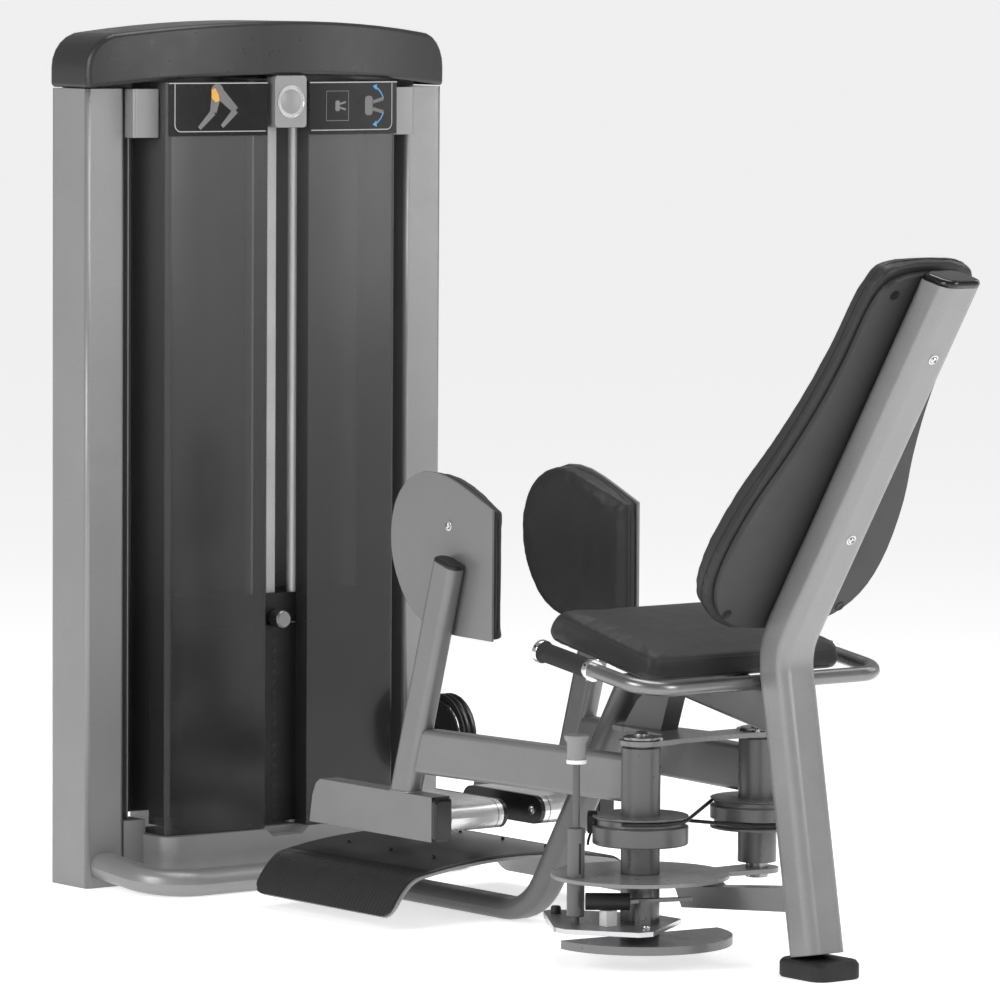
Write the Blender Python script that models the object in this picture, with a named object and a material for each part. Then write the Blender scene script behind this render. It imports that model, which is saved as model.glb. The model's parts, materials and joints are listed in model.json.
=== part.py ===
"""Hip abductor machine: weight tower, foot platform, two coupled swing arms, seat and back rest.

Frame: metres, +Z up, floor at z = 0. The tower stands at -X and the seat at +X, so the user
faces -X, with the user's left at -Y. The origin is under the middle of the machine.
"""

from math import atan2, cos, pi, radians, sin, tan

import bmesh
import bpy
from mathutils import Matrix, Vector

for stale in list(bpy.data.objects):
    bpy.data.objects.remove(stale, do_unlink=True)

# ---- driving dimensions -------------------------------------------------------------------
GAP = 0.0003

# weight tower
TOWER_BACK = -0.978
POST_DEPTH = 0.112
POST_WIDTH = 0.080
POST_CORNER = 0.009
TOWER_HALF = 0.384
POST_TOP = 1.390
TOWER_TOP = 1.507
POST_FRONT = TOWER_BACK + POST_DEPTH
POST_INNER = TOWER_HALF - POST_WIDTH
CAP_HALF = 0.386
CAP_WALL = 0.005
CAP_BULGE = 0.062
CAP_FRONT = -0.862
CAP_DEPTH = 0.0015
CAP_ARCH = 0.023
CAP_CROWN = 0.020
CAP_CORNER = 0.062
CAP_EDGE = 0.009
PANEL_FRONT = -0.8055
PANEL_SWEEP = 0.0135
PANEL_SKIN = 0.004
PANEL_BACK = -0.930
PANEL_TOP = 1.401
PANEL_OUTER = 0.248
PANEL_CORNER = 0.012
CHANNEL_BACK = -0.841
CHANNEL_HALF = 0.045
COVER_HALF = 0.2845
COVER_FRONT = -0.887
COVER_SKIN = 0.003
TRAY_MIDDLE_X = -0.8735
TRAY_DEPTH = 0.153
TRAY_WIDTH = 0.524
TRAY_BOTTOM = 0.004
TRAY_TOP = 0.087
TRAY_WING_TOP = 0.113
SHELL_BACK = -0.974
BEAM_HALF = 0.372
BADGE_HEIGHT = 1.3665
IDLER = Vector((-0.778, 0.333, 0.232))
IDLER_R = 0.074

# weight stack
STACK_BACK = -0.942
STACK_FRONT = -0.842
STACK_HALF = 0.200
STACK_X = -0.855
PLATE_PITCH = 0.0186
PLATE_GAP = 0.0022
PLATE_COUNT = 19
HEAD_HEIGHT = 0.036
ROD_R = 0.0095
ROD_Y = 0.047
BELT_W = 0.019
BELT_T = 0.003
BELT_TOP = 1.412
STEM_R = 0.0085
SELECTOR_R = 0.0045
TOP_PULLEY_R = 0.030

# base
OVAL_W = 0.060
OVAL_H = 0.037
BASE_H = 0.046
BASE_START_Z = 0.038
BASE_LEG_Y = 0.345
BASE_BAR_X = -0.690
BASE_BACK_X = POST_FRONT + GAP
BASE_BEND = 0.075
STEP_BACK = -0.528
STEP_FRONT = -0.138
STEP_CREASE_Y = 0.198
STEP_EDGE_Y = 0.268
STEP_MID_Z = 0.108
STEP_CREASE_Z = 0.0905
STEP_EDGE_Z = 0.024
STEP_SKIN = 0.005
MAT_SKIN = 0.004
MAT_GAP = 0.0007
STEP_RIM = 0.005
STEP_CORNER = 0.024
# the curl at the step's sides, as shares of its reach across and of its fall
CURL = ((0.0, 0.0), (0.27, 0.06), (0.50, 0.24), (0.72, 0.50), (0.89, 0.77), (1.0, 1.0))

# rear frame
SPINE_LEAN = radians(32)
SPINE_KNEE = Vector((-0.091, 0, OVAL_H / 2))
SPINE_BEND = 0.120
POST_T = 0.069
POST_W = 0.076
REAR_POST_CORNER = 0.020
REAR_FOOT = Vector((0.639, 0, 0.035))
REAR_KNEE = Vector((0.551, 0, 0.520))
REAR_BEND = 0.110
RUBBER_FOOT_H = 0.030
BACK_LEAN = radians(32.9)
REAR_END_FRONT = Vector((0.9048, 0, 1.130))
REAR_END_BACK = Vector((0.9760, 0, 1.114))
BACK_HALF = (
    (0.000, 0.0), (0.006, 0.090), (0.032, 0.140), (0.080, 0.170), (0.155, 0.178), (0.255, 0.166),
    (0.350, 0.141), (0.450, 0.122), (0.550, 0.113), (0.640, 0.112), (0.690, 0.101), (0.712, 0.072),
    (0.718, 0.0),
)
BACK_HEIGHT = 0.718
BACK_PAD_T = 0.056
BOARD_T = 0.012
BOARD_INSET = 0.013
TILT = radians(10.3)
SEAT_REAR = Vector((0.468, 0, 0.508))
SEAT_CORNER = 0.020
SEAT_WEDGE = 0.010
# depth below the top as a share of the thickness, reach forward, inset of the other sides
SEAT_PROFILE = (
    (1.0, 0.272, 0.008),
    (0.82, 0.282, 0.0),
    (0.50, 0.281, 0.0),
    (0.18, 0.272, 0.001),
    (0.0, 0.263, 0.008),
    (-0.10, 0.215, 0.055),
    (-0.15, 0.170, 0.100),
)
SEAT_HALF = 0.204
SEAT_T = 0.043
BAR_R = 0.0125
BAR_HALF = 0.250
BAR_REAR_Z = 0.463
BAR_BEND = 0.055
BAR_TILT = radians(8.4)
GRIP_R = 0.016
GRIP_LENGTH = 0.130
RAIL_H = 0.070
RAIL_W = 0.040

# pivots and arms
PIVOT_X = 0.3414
PIVOT_Y = 0.1232
SHAFT_R = 0.019
SHAFT_TOP = 0.3605
TUBE_R = 0.032
TUBE_BOTTOM = 0.1436
TUBE_TOP = 0.348
BEARING_T = 0.008
STOCK_H = 0.076
STOCK_W = 0.038
ARM_Z = 0.295
UPRIGHT_T = 0.0597
UPRIGHT_W = 0.034
UPRIGHT_LEAN = atan2(0.116, 0.3915)
UPRIGHT_FOOT = Vector((-0.222, 0, 0.2235))
UPRIGHT_TOP_Z = 0.613
PLATE_Y = 0.157
PLATE_T = 0.005
PAD_REAR_X = -0.012
PAD_MIDDLE = Vector((-0.150, 0, 0.630))
PAD_FADE = 0.110
PAD_THIN = 0.022
PAD_THICK = 0.038
# depth as a share of the pad's thickness, and its outline's size there
PAD_PROFILE = ((0.0, 0.985), (0.12, 1.0), (0.75, 1.0), (0.95, 0.97), (1.0, 0.90), (1.0, 0.6), (1.0, 0.3))
FOOT_Z0 = 0.147
FOOT_Y = 0.174
FOOT_FRONT_X = -0.463
FOOT_REAR_X = -0.126
REST_Z = 0.184
REST_T = 0.048
REST_X0 = -0.340
REST_X1 = -0.120
REST_INNER = 0.036
WHEEL_R = 0.078
GROOVE_R = 0.0715
CABLE_R = 0.003
DISC_R = 0.145
DISC_T = 0.006
PIN_OFFSET = Vector((-0.018, -0.119, 0))
SLEEVE_R = 0.0145
SLEEVE_TOP = 0.2235
KNOB_FOOT = 0.328
KNOB_TOP = 0.375
CAM_R = 0.151
CAM_Z0 = 0.030
CAM_Z1 = 0.044
LEVER_Z0 = 0.060
LEVER_Z1 = 0.068
LEVER_PLAN = (
    (0.170, -0.168), (0.176, -0.192), (0.330, -0.292), (0.362, -0.293),
    (0.462, -0.222), (0.466, -0.196), (0.378, -0.066), (0.300, -0.070),
)
BUMPER_START = Vector((0.352, -0.245, 0.108))
BUMPER_END = Vector((0.396, -0.188, 0.108))
BUMPER_R = 0.014

LEFT = -1
RIGHT = 1
SIDE_NAMES = {LEFT: "left", RIGHT: "right"}
X_AXIS, Y_AXIS, Z_AXIS = Vector((1, 0, 0)), Vector((0, 1, 0)), Vector((0, 0, 1))


# ---- materials ----------------------------------------------------------------------------
def principled(name, colour, roughness, metallic=0.0):
    material = bpy.data.materials.new(name)
    material.use_nodes = True
    shader = material.node_tree.nodes["Principled BSDF"]
    shader.inputs["Base Color"].default_value = (*colour, 1.0)
    shader.inputs["Roughness"].default_value = roughness
    shader.inputs["Metallic"].default_value = metallic
    return material


SILVER = ("silver_paint", (0.42, 0.42, 0.42), 0.38, 0.55)
GRAPHITE = ("graphite_plastic", (0.055, 0.056, 0.058), 0.45, 0.0)
SMOKED = ("smoked_plastic", (0.035, 0.035, 0.037), 0.22, 0.0)
RUBBER = ("black_rubber", (0.020, 0.020, 0.021), 0.70, 0.0)
VINYL = ("black_vinyl", (0.022, 0.022, 0.024), 0.48, 0.0)
BOARD = ("black_board", (0.040, 0.040, 0.042), 0.55, 0.0)
CHROME = ("chrome", (0.80, 0.80, 0.81), 0.10, 1.0)
STEEL = ("steel", (0.50, 0.50, 0.51), 0.28, 1.0)
GREY_BELT = ("grey_belt", (0.33, 0.33, 0.33), 0.55, 0.0)
IRON = ("cast_iron", (0.030, 0.030, 0.032), 0.50, 0.3)


# ---- making solids ------------------------------------------------------------------------
def add(name, mesh_builder, finish, parent=None):
    """Turns a bmesh in world coordinates into a named object with its own material."""
    bmesh.ops.remove_doubles(mesh_builder, verts=mesh_builder.verts, dist=1e-6)
    bmesh.ops.recalc_face_normals(mesh_builder, faces=mesh_builder.faces)
    if mesh_builder.calc_volume(signed=True) < 0:
        bmesh.ops.reverse_faces(mesh_builder, faces=mesh_builder.faces)
    mesh = bpy.data.meshes.new(name)
    mesh_builder.to_mesh(mesh)
    mesh_builder.free()
    if parent:
        mesh.transform(Matrix.Translation(-parent.location))
    mesh.shade_smooth()
    mesh.set_sharp_from_angle(angle=radians(35))
    made = bpy.data.objects.new(name, mesh)
    bpy.context.collection.objects.link(made)
    made.parent = parent
    if finish:
        slot_name, colour, roughness, metallic = finish
        mesh.materials.append(principled(f"{name}_{slot_name}", colour, roughness, metallic))
    return made


def pivot(name, place):
    """An empty on a joint's axis, which the joint's pieces are parented to."""
    empty = bpy.data.objects.new(name, None)
    bpy.context.collection.objects.link(empty)
    empty.location = place
    return empty


def combine(target, others, operation):
    """Adds a Boolean with each other object, which is kept as a hidden wire."""
    for other in others:
        other.hide_render = True
        other.display_type = "WIRE"
        step = target.modifiers.new(f"{operation.lower()}_{other.name}", "BOOLEAN")
        step.operation = operation
        step.object = other
    return target


def rounded_rect(width, height, corner, steps=4):
    """Outline points of a rectangle with round corners, centred on 0."""
    points = []
    for quarter, (sx, sy) in enumerate(((1, 1), (-1, 1), (-1, -1), (1, -1))):
        for step in range(steps + 1):
            angle = (quarter + step / steps) * pi / 2
            points.append(
                (
                    sx * (width / 2 - corner) + corner * cos(angle),
                    sy * (height / 2 - corner) + corner * sin(angle),
                )
            )
    return points


def stadium(width, height, steps=6):
    return rounded_rect(width, height, min(width, height) / 2 * 0.999, steps)


def offset_line(points, by):
    """An open line of 2D points moved sideways by the same distance all along."""
    moved = []
    for index, place in enumerate(points):
        legs = [points[max(index - 1, 0)], place, points[min(index + 1, len(points) - 1)]]
        sides = []
        for start, end in zip(legs, legs[1:]):
            run = Vector(end) - Vector(start)
            if run.length > 0:
                sides.append(Vector((-run.y, run.x)).normalized())
        mean = sides[0] + sides[-1]
        moved.append(tuple(Vector(place) + mean * (2 * by / mean.length_squared)))
    return moved


def circle(radius, segments=24, start=0.0):
    turns = [start + 2 * pi * step / segments for step in range(segments)]
    return [(radius * cos(turn), radius * sin(turn)) for turn in turns]


def smooth_point(before, here, after, beyond, t):
    """A point of a Catmull-Rom span between here and after."""
    return tuple(
        0.5 * (2 * b + (c - a) * t + (2 * a - 5 * b + 4 * c - d) * t**2 + (3 * b - a - 3 * c + d) * t**3)
        for a, b, c, d in zip(before, here, after, beyond)
    )


def smooth_loop(points, per_span):
    """A closed curve through 2D points."""
    curve = []
    for index in range(len(points)):
        near = [points[(index + shift) % len(points)] for shift in (-1, 0, 1, 2)]
        curve += [smooth_point(*near, step / per_span) for step in range(per_span)]
    return curve


def smooth_line(points):
    """An open line through 2D points: its end spans stay straight and the others gain a midpoint."""
    curve = points[:2]
    for near in zip(points, points[1:], points[2:], points[3:]):
        curve += [smooth_point(*near, 0.5), near[2]]
    return curve + points[-1:]


def loft(rings):
    """A closed solid through rings of equally many points, capped at both ends."""
    built = bmesh.new()
    loops = [[built.verts.new(point) for point in ring] for ring in rings]
    for near, far in zip(loops, loops[1:]):
        for index in range(len(near)):
            following = (index + 1) % len(near)
            built.faces.new((near[index], near[following], far[following], far[index]))
    built.faces.new(loops[0][::-1])
    built.faces.new(loops[-1])
    return built


def prism(outline, place, first, second, span):
    """An outline in the plane of two axes, extruded by the vector span."""
    start = [place + first * a + second * b for a, b in outline]
    return loft([start, [point + span for point in start]])


def upright_prism(outline, z0, z1):
    """An outline in plan, from z0 up to z1."""
    return prism(outline, Vector((0, 0, z0)), X_AXIS, Y_AXIS, Z_AXIS * (z1 - z0))


def side_prism(outline, y0, y1):
    """An outline in side view (x, z), from y0 to y1."""
    return prism(outline, Vector((0, y0, 0)), X_AXIS, Z_AXIS, Y_AXIS * (y1 - y0))


def box(x0, x1, y0, y1, z0, z1):
    return upright_prism([(x0, y0), (x1, y0), (x1, y1), (x0, y1)], z0, z1)


def rod(start, end, radius, segments=20):
    """A round bar between two points."""
    along = (end - start).normalized()
    first = along.orthogonal().normalized()
    second = along.cross(first)
    return prism(circle(radius, segments), start, first, second, end - start)


def turned(profile, centre, axis=Z_AXIS, segments=32):
    """Turns a profile of (radius, height) about an axis. A profile off the axis closes on itself."""
    first = axis.orthogonal().normalized()
    second = axis.cross(first)
    built = bmesh.new()
    loops = []
    for radius, height in profile:
        middle = centre + axis * height
        if radius < 1e-6:
            loops.append([built.verts.new(middle)])
        else:
            around = [middle + first * a + second * b for a, b in circle(radius, segments)]
            loops.append([built.verts.new(point) for point in around])
    pairs = list(zip(loops, loops[1:]))
    if len(loops[0]) > 1:
        pairs.append((loops[-1], loops[0]))
    for near, far in pairs:
        for index in range(segments):
            following = (index + 1) % segments
            corners = [near[index % len(near)], near[following % len(near)]]
            corners += [far[following % len(far)], far[index % len(far)]]
            built.faces.new(list(dict.fromkeys(corners)))
    return built


def sector(radius, inner, start, end, z0, z1, centre, steps=24):
    """A flat ring sector between two angles, with its bore side at the inner radius."""
    turns = [start + (end - start) * step / steps for step in range(steps + 1)]
    outer = [(centre.x + radius * cos(t), centre.y + radius * sin(t)) for t in turns]
    bore = [(centre.x + inner * cos(t), centre.y + inner * sin(t)) for t in reversed(turns)]
    return upright_prism(outer + bore, z0, z1)


def bent(corners, bend, steps=6):
    """A path through corner points, with each inner corner rounded to the bend radius."""
    path = [corners[0]]
    for before, corner, after in zip(corners, corners[1:], corners[2:]):
        into = (corner - before).normalized()
        out = (after - corner).normalized()
        turn = into.angle(out)
        reach = bend * tan(turn / 2)
        start = corner - into * reach
        middle = start + (out - into * into.dot(out)).normalized() * bend
        axis = into.cross(out).normalized()
        for step in range(steps + 1):
            spin = Matrix.Rotation(turn * step / steps, 3, axis)
            path.append(middle + spin @ (start - middle))
    return path + [corners[-1]]


def sweep(section, path, side, last=None):
    """Sweeps a section of (across, side) along a path that stays square to the side axis."""
    rings = []
    for index, place in enumerate(path):
        ahead = path[min(index + 1, len(path) - 1)] - path[max(index - 1, 0)]
        if 0 < index < len(path) - 1:
            into = (place - path[index - 1]).normalized()
            out = (path[index + 1] - place).normalized()
            ahead = into + out
        across = side.cross(ahead.normalized())
        if last and index == len(path) - 1:
            across = last
        rings.append([place + across * a + side * b for a, b in section])
    return loft(rings)


# ---- weight tower -------------------------------------------------------------------------
def panel_line(y):
    """Front of the swept panels at y."""
    return PANEL_FRONT - PANEL_SWEEP * (y / PANEL_OUTER) ** 2


def cap_front_view(inset, drop, steps=6):
    """The cap's front view as (y, z), pulled in by the inset: arched below and crowned on top."""
    half = CAP_HALF - inset
    corner = CAP_CORNER - inset
    flat = half - corner
    top = TOWER_TOP - CAP_CROWN - inset
    points = []
    for step in range(17):
        y = half * (2 * step / 16 - 1)
        points.append((y, POST_TOP - drop + CAP_ARCH * (1 - (y / CAP_HALF) ** 2)))
    for step in range(steps + 1):
        angle = pi / 2 * step / steps
        points.append((flat + corner * cos(angle), top - corner + corner * sin(angle)))
    for step in range(1, 12):
        y = flat * (1 - 2 * step / 12)
        points.append((y, top + CAP_CROWN * (1 - (y / flat) ** 2)))
    for step in range(steps + 1):
        angle = pi / 2 + pi / 2 * step / steps
        points.append((corner * cos(angle) - flat, top - corner + corner * sin(angle)))
    return points


def cap_plan(inset):
    """The cap's plan: flat behind, straight at both ends and bulged in front."""
    half = CAP_HALF - inset
    spans = [half * (1 - 2 * step / 22) for step in range(23)]
    front = []
    for y in spans:
        bulge = max(0.0, 1 - (y / CAP_HALF) ** 2)
        front.append((CAP_FRONT - inset + CAP_BULGE * bulge, y))
    back = TOWER_BACK - CAP_DEPTH + inset
    return [(back, -half), (back, half)] + front


def cap_solid(name, finish, inset, drop):
    """The cap's plan from floor to top, kept where its front view is."""
    block = add(name, upright_prism(cap_plan(inset), POST_TOP - 0.05, TOWER_TOP + 0.01), finish)
    view = prism(cap_front_view(inset, drop), Vector((-1.1, 0, 0)), Y_AXIS, Z_AXIS, X_AXIS * 0.5)
    return combine(block, [add(f"{name}_view", view, None)], "INTERSECT")


def panel_plan(side):
    """Plan of one panel: outer wall, rounded corner, swept front and the channel's return wall."""
    corner = (panel_line(PANEL_OUTER), PANEL_OUTER)
    middle = (corner[0] - PANEL_CORNER, corner[1] - PANEL_CORNER)
    line = [(PANEL_BACK, PANEL_OUTER)]
    for step in range(6):
        angle = pi / 2 * (1 - step / 5)
        line.append((middle[0] + PANEL_CORNER * cos(angle), middle[1] + PANEL_CORNER * sin(angle)))
    spans = [middle[1] + (CHANNEL_HALF - middle[1]) * step / 7 for step in range(1, 8)]
    line += [(panel_line(y), y) for y in spans]
    line.append((CHANNEL_BACK, CHANNEL_HALF))
    inside = offset_line(line, -PANEL_SKIN)
    return [(x, side * y) for x, y in line + inside[::-1]]


def tower():
    for side in (LEFT, RIGHT):
        name = SIDE_NAMES[side]
        middle_x = (TOWER_BACK + POST_FRONT) / 2
        middle_y = side * (TOWER_HALF - POST_WIDTH / 2)
        section = [
            (middle_x + a, middle_y + b)
            for a, b in rounded_rect(POST_DEPTH, POST_WIDTH, POST_CORNER, 5)
        ]
        add(f"{name}_post", upright_prism(section, 0, POST_TOP - GAP), SILVER)

        panel = upright_prism(panel_plan(side), TRAY_TOP + GAP, PANEL_TOP)
        add(f"{name}_front_panel", panel, SMOKED)

        bracket = rounded_rect(0.034, 0.0550, 0.006, 3)
        bracket = [(-0.857 + a, side * 0.2761 + b) for a, b in bracket]
        add(f"{name}_bracket", upright_prism(bracket, 1.305, POST_TOP - GAP), SILVER)
        foot = Vector((STACK_X, side * ROD_Y, TRAY_TOP + GAP))
        head = Vector((STACK_X, side * ROD_Y, PANEL_TOP))
        add(f"{name}_guide_rod", rod(foot, head, ROD_R, 16), CHROME)

    cap = cap_solid("top_cap", GRAPHITE, 0.0, 0.0)
    round_edges = cap.modifiers.new("round_edges", "BEVEL")
    round_edges.width = CAP_EDGE
    round_edges.segments = 3
    round_edges.limit_method = "ANGLE"
    round_edges.angle_limit = radians(50)
    combine(cap, [cap_solid("cap_core", None, CAP_WALL, 0.03)], "DIFFERENCE")

    top_beam()
    badge = rounded_rect(0.068, 0.091, 0.006, 3)
    place = Vector((-0.826, 0, BADGE_HEIGHT))
    add("badge_block", prism(badge, place, Y_AXIS, Z_AXIS, X_AXIS * 0.029), SILVER)

    edge = POST_INNER - GAP
    back = SHELL_BACK
    cover = [(back, -edge), (back, edge), (back + COVER_SKIN, edge), (back + COVER_SKIN, COVER_HALF)]
    cover += [(COVER_FRONT, COVER_HALF), (COVER_FRONT, COVER_HALF - COVER_SKIN)]
    cover.append((back + 2 * COVER_SKIN, COVER_HALF - COVER_SKIN))
    cover += [(x, -y) for x, y in reversed(cover)]
    add("rear_cover", upright_prism(cover, TRAY_WING_TOP + GAP, POST_TOP - GAP), SILVER)
    base_tray(edge)
    idler()


def top_beam():
    """The beam under the cap, with a slotted shelf over the channel and the belt's roller on it."""
    beam = box(-0.960, -0.935, -BEAM_HALF, BEAM_HALF, POST_TOP + GAP, POST_TOP + 0.050)
    beam = add("top_beam", beam, SILVER)
    shelf = box(-0.940, -0.846, -0.060, 0.060, PANEL_TOP + GAP, PANEL_TOP + 0.008)
    combine(beam, [add("top_shelf", shelf, None)], "UNION")
    slot = add("top_shelf_slot", box(-0.933, -0.848, -0.014, 0.014, 1.30, 1.50), None)
    combine(beam, [slot], "DIFFERENCE")
    roller_x = STACK_X - TOP_PULLEY_R - BELT_T / 2 - GAP
    rollers = []
    for label, radius, reach in (("roller", TOP_PULLEY_R, 0.0125), ("roller_axle", 0.008, 0.020)):
        near, far = Vector((roller_x, -reach, BELT_TOP)), Vector((roller_x, reach, BELT_TOP))
        rollers.append(add(f"top_{label}", rod(near, far, radius, 28), None))
    combine(beam, rollers, "UNION")


def base_tray(edge):
    """A rounded tray with a notch in its front edge and a stepped wing out to each post."""
    plan = rounded_rect(TRAY_DEPTH, TRAY_WIDTH, 0.030, 4)
    tray = upright_prism([(TRAY_MIDDLE_X + a, b) for a, b in plan], TRAY_BOTTOM, TRAY_TOP)
    tray = add("base_tray", tray, SILVER)
    wing_back, wing_front, wing_y = -0.940, -0.868, 0.258
    wings = [("low", -edge, edge, TRAY_BOTTOM, TRAY_TOP - 0.0004)]
    wings += [("left", -edge, -wing_y, 0.05, TRAY_WING_TOP), ("right", wing_y, edge, 0.05, TRAY_WING_TOP)]
    solids = []
    for label, y0, y1, z0, z1 in wings:
        wing = box(wing_back, wing_front, y0, y1, z0, z1)
        solids.append(add(f"tray_wing_{label}", wing, None))
    combine(tray, solids, "UNION")
    notch = [(-0.050, 0.10), (-0.050, 0.0875), (-0.034, 0.074)]
    notch += [(0.030, 0.074), (0.046, 0.0875), (0.046, 0.10)]
    notch = prism(notch, Vector((-0.83, 0, 0)), Y_AXIS, Z_AXIS, X_AXIS * 0.05)
    combine(tray, [add("tray_notch", notch, None)], "DIFFERENCE")


def idler():
    """The loose pulley at the right post's foot, and the cheek plate that carries it."""
    rim, web, half = IDLER_R, 0.060, 0.017
    profile = [(0.006, -half), (web, -half), (web, -0.014), (rim, -0.014), (rim, -0.011)]
    profile += [(0.066, -0.006), (rim, -0.001), (rim, 0.001), (0.066, 0.006), (rim, 0.011)]
    profile += [(rim, 0.014), (web, 0.014), (web, half), (0.006, half)]
    hub = pivot("idler_axis", IDLER)
    add("idler_pulley", turned(profile, IDLER, Y_AXIS, 32), IRON, hub)
    cheek = [(-0.0846, 0.036), (-0.0846, -0.036), (-0.02, -0.018)]
    cheek += [(0.016, -0.016), (0.016, 0.016), (-0.02, 0.018)]
    cheek = prism(cheek, IDLER + Y_AXIS * 0.018, X_AXIS, Z_AXIS, Y_AXIS * 0.004)
    axle = rod(IDLER - Y_AXIS * 0.019, IDLER + Y_AXIS * 0.0215, 0.0055, 16)
    combine(add("idler_bracket", cheek, IRON), [add("idler_axle_pin", axle, None)], "UNION")


def weight_stack():
    base = TRAY_TOP + 0.006
    plates = []
    for index in range(PLATE_COUNT):
        z0 = base + index * PLATE_PITCH
        plates.append((z0, z0 + PLATE_PITCH - PLATE_GAP))
    top = plates[-1][1]
    core_inset = 0.0012
    outline = []
    for z0, z1 in plates:
        outline += [(STACK_HALF, z0), (STACK_HALF, z1), (STACK_HALF - core_inset, z1)]
        outline += [(STACK_HALF - core_inset, z1 + PLATE_GAP)] if z1 < top else []
    outline += [(-y, z) for y, z in reversed(outline)]
    depth = X_AXIS * (STACK_FRONT - STACK_BACK)
    body = prism(outline, Vector((STACK_BACK, 0, 0)), Y_AXIS, Z_AXIS, depth)
    holes = []
    for index, (y, radius) in enumerate(((-ROD_Y, ROD_R), (0, STEM_R), (ROD_Y, ROD_R))):
        low, high = Vector((STACK_X, y, base - 0.02)), Vector((STACK_X, y, top + 0.08))
        holes.append(add(f"stack_hole_{index}", rod(low, high, radius + 0.001, 16), None))
    combine(add("weight_plates", body, IRON), holes, "DIFFERENCE")

    lifter = pivot("stack_slide", Vector((STACK_X, 0, top)))
    selected = top + 0.0022
    pin_z = selected + (PLATE_PITCH - PLATE_GAP) / 2
    joint = selected + PLATE_PITCH - PLATE_GAP
    block = box(STACK_BACK, STACK_FRONT, -STACK_HALF, STACK_HALF, selected, joint + HEAD_HEIGHT)
    head = add("weight_head_plate", block, IRON, lifter)
    line = box(STACK_FRONT - core_inset, STACK_FRONT + 0.01, -0.3, 0.3, joint, joint + PLATE_GAP)
    line = add("head_line", line, None)
    stem_foot, stem_head = Vector((STACK_X, 0, base + 0.004)), Vector((STACK_X, 0, selected + 0.010))
    stem = add("selector_stem", rod(stem_foot, stem_head, STEM_R, 16), None)
    rod_holes = []
    for side in (LEFT, RIGHT):
        low = Vector((STACK_X, side * ROD_Y, selected - 0.02))
        hole = rod(low, low + Z_AXIS * 0.12, ROD_R + 0.001, 16)
        rod_holes.append(add(f"head_hole_{side}", hole, None))
    pin_start = Vector((STACK_FRONT - 0.055, 0, pin_z))
    pin_hole = rod(pin_start, pin_start + X_AXIS * 0.10, SELECTOR_R + 0.0006, 12)
    pin_hole = add("selector_hole", pin_hole, None)
    combine(head, [stem], "UNION")
    combine(head, [line, *rod_holes, pin_hole], "DIFFERENCE")

    selector = pivot("selector_slide", Vector((STACK_FRONT, 0, pin_z)))
    knob_back, knob_face, knob_r, round_by = 0.0015, 0.031, 0.016, 0.003
    profile = [(0, -0.050), (SELECTOR_R, -0.050), (SELECTOR_R, knob_back), (knob_r - round_by, knob_back)]
    profile += [(knob_r, knob_back + round_by), (knob_r, knob_face - round_by)]
    profile += [(knob_r - round_by, knob_face), (0, knob_face)]
    add("selector_pin", turned(profile, selector.location, X_AXIS, 24), STEEL, selector)

    cable_foot = joint + HEAD_HEIGHT + GAP
    belt = [(STACK_X + a, b) for a, b in rounded_rect(BELT_T, BELT_W, 0.001, 2)]
    add("lift_belt", upright_prism(belt, cable_foot, BELT_TOP), GREY_BELT)


# ---- base ---------------------------------------------------------------------------------
def base():
    low, high = BASE_H / 2, BASE_START_Z
    corners = [Vector((BASE_BACK_X, -BASE_LEG_Y, high)), Vector((BASE_BAR_X, -BASE_LEG_Y, low))]
    corners += [Vector((BASE_BAR_X, BASE_LEG_Y, low)), Vector((BASE_BACK_X, BASE_LEG_Y, high))]
    tube = sweep(stadium(OVAL_W, BASE_H, 4), bent(corners, BASE_BEND, 7), Z_AXIS, last=-Y_AXIS)
    for vert in tube.verts:
        vert.co.x = max(vert.co.x, BASE_BACK_X)
        vert.co.z = max(vert.co.z, 0.0)
    add("base_tube", tube, SILVER)
    mid = OVAL_H / 2

    up = Vector((sin(SPINE_LEAN), 0, cos(SPINE_LEAN)))
    start = Vector((BASE_BAR_X + OVAL_W / 2 + GAP, 0, mid))
    top = SPINE_KNEE + up * 0.4985
    path = bent([start, SPINE_KNEE, top], SPINE_BEND, 8)
    across = Vector((cos(TILT), 0, -sin(TILT))) / cos(TILT - SPINE_LEAN)
    add("spine_tube", sweep(stadium(OVAL_H, OVAL_W), path, Y_AXIS, across), SILVER)


def step_line():
    """The foot step's top in front view (y, z): a shallow arch with both sides curled down."""
    half = []
    for step in range(9):
        reach = step / 8
        half.append((STEP_CREASE_Y * reach, STEP_MID_Z - (STEP_MID_Z - STEP_CREASE_Z) * reach**2))
    fall = STEP_CREASE_Z - STEP_EDGE_Z
    reach = STEP_EDGE_Y - STEP_CREASE_Y
    for across, down in CURL[1:]:
        half.append((STEP_CREASE_Y + reach * across, STEP_CREASE_Z - fall * down))
    return [(-y, z) for y, z in reversed(half[1:])] + half


def sheet_outline(line, low, high):
    """A sheet between two offsets of a line, the way it faces left to right."""
    return offset_line(line, high) + offset_line(line, low)[::-1]


def curl_slice(corner, x):
    """The step's line at x, shortened at both ends where its corners are rounded."""
    near_end = max(0.0, corner - min(x - STEP_BACK, STEP_FRONT - x))
    short = corner - (corner**2 - near_end**2) ** 0.5
    line = step_line()
    full = STEP_CREASE_Z - STEP_EDGE_Z
    share = 1 - short / full
    return [(y, z) if z >= STEP_CREASE_Z else squeezed(y, z, share) for y, z in line]


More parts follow.
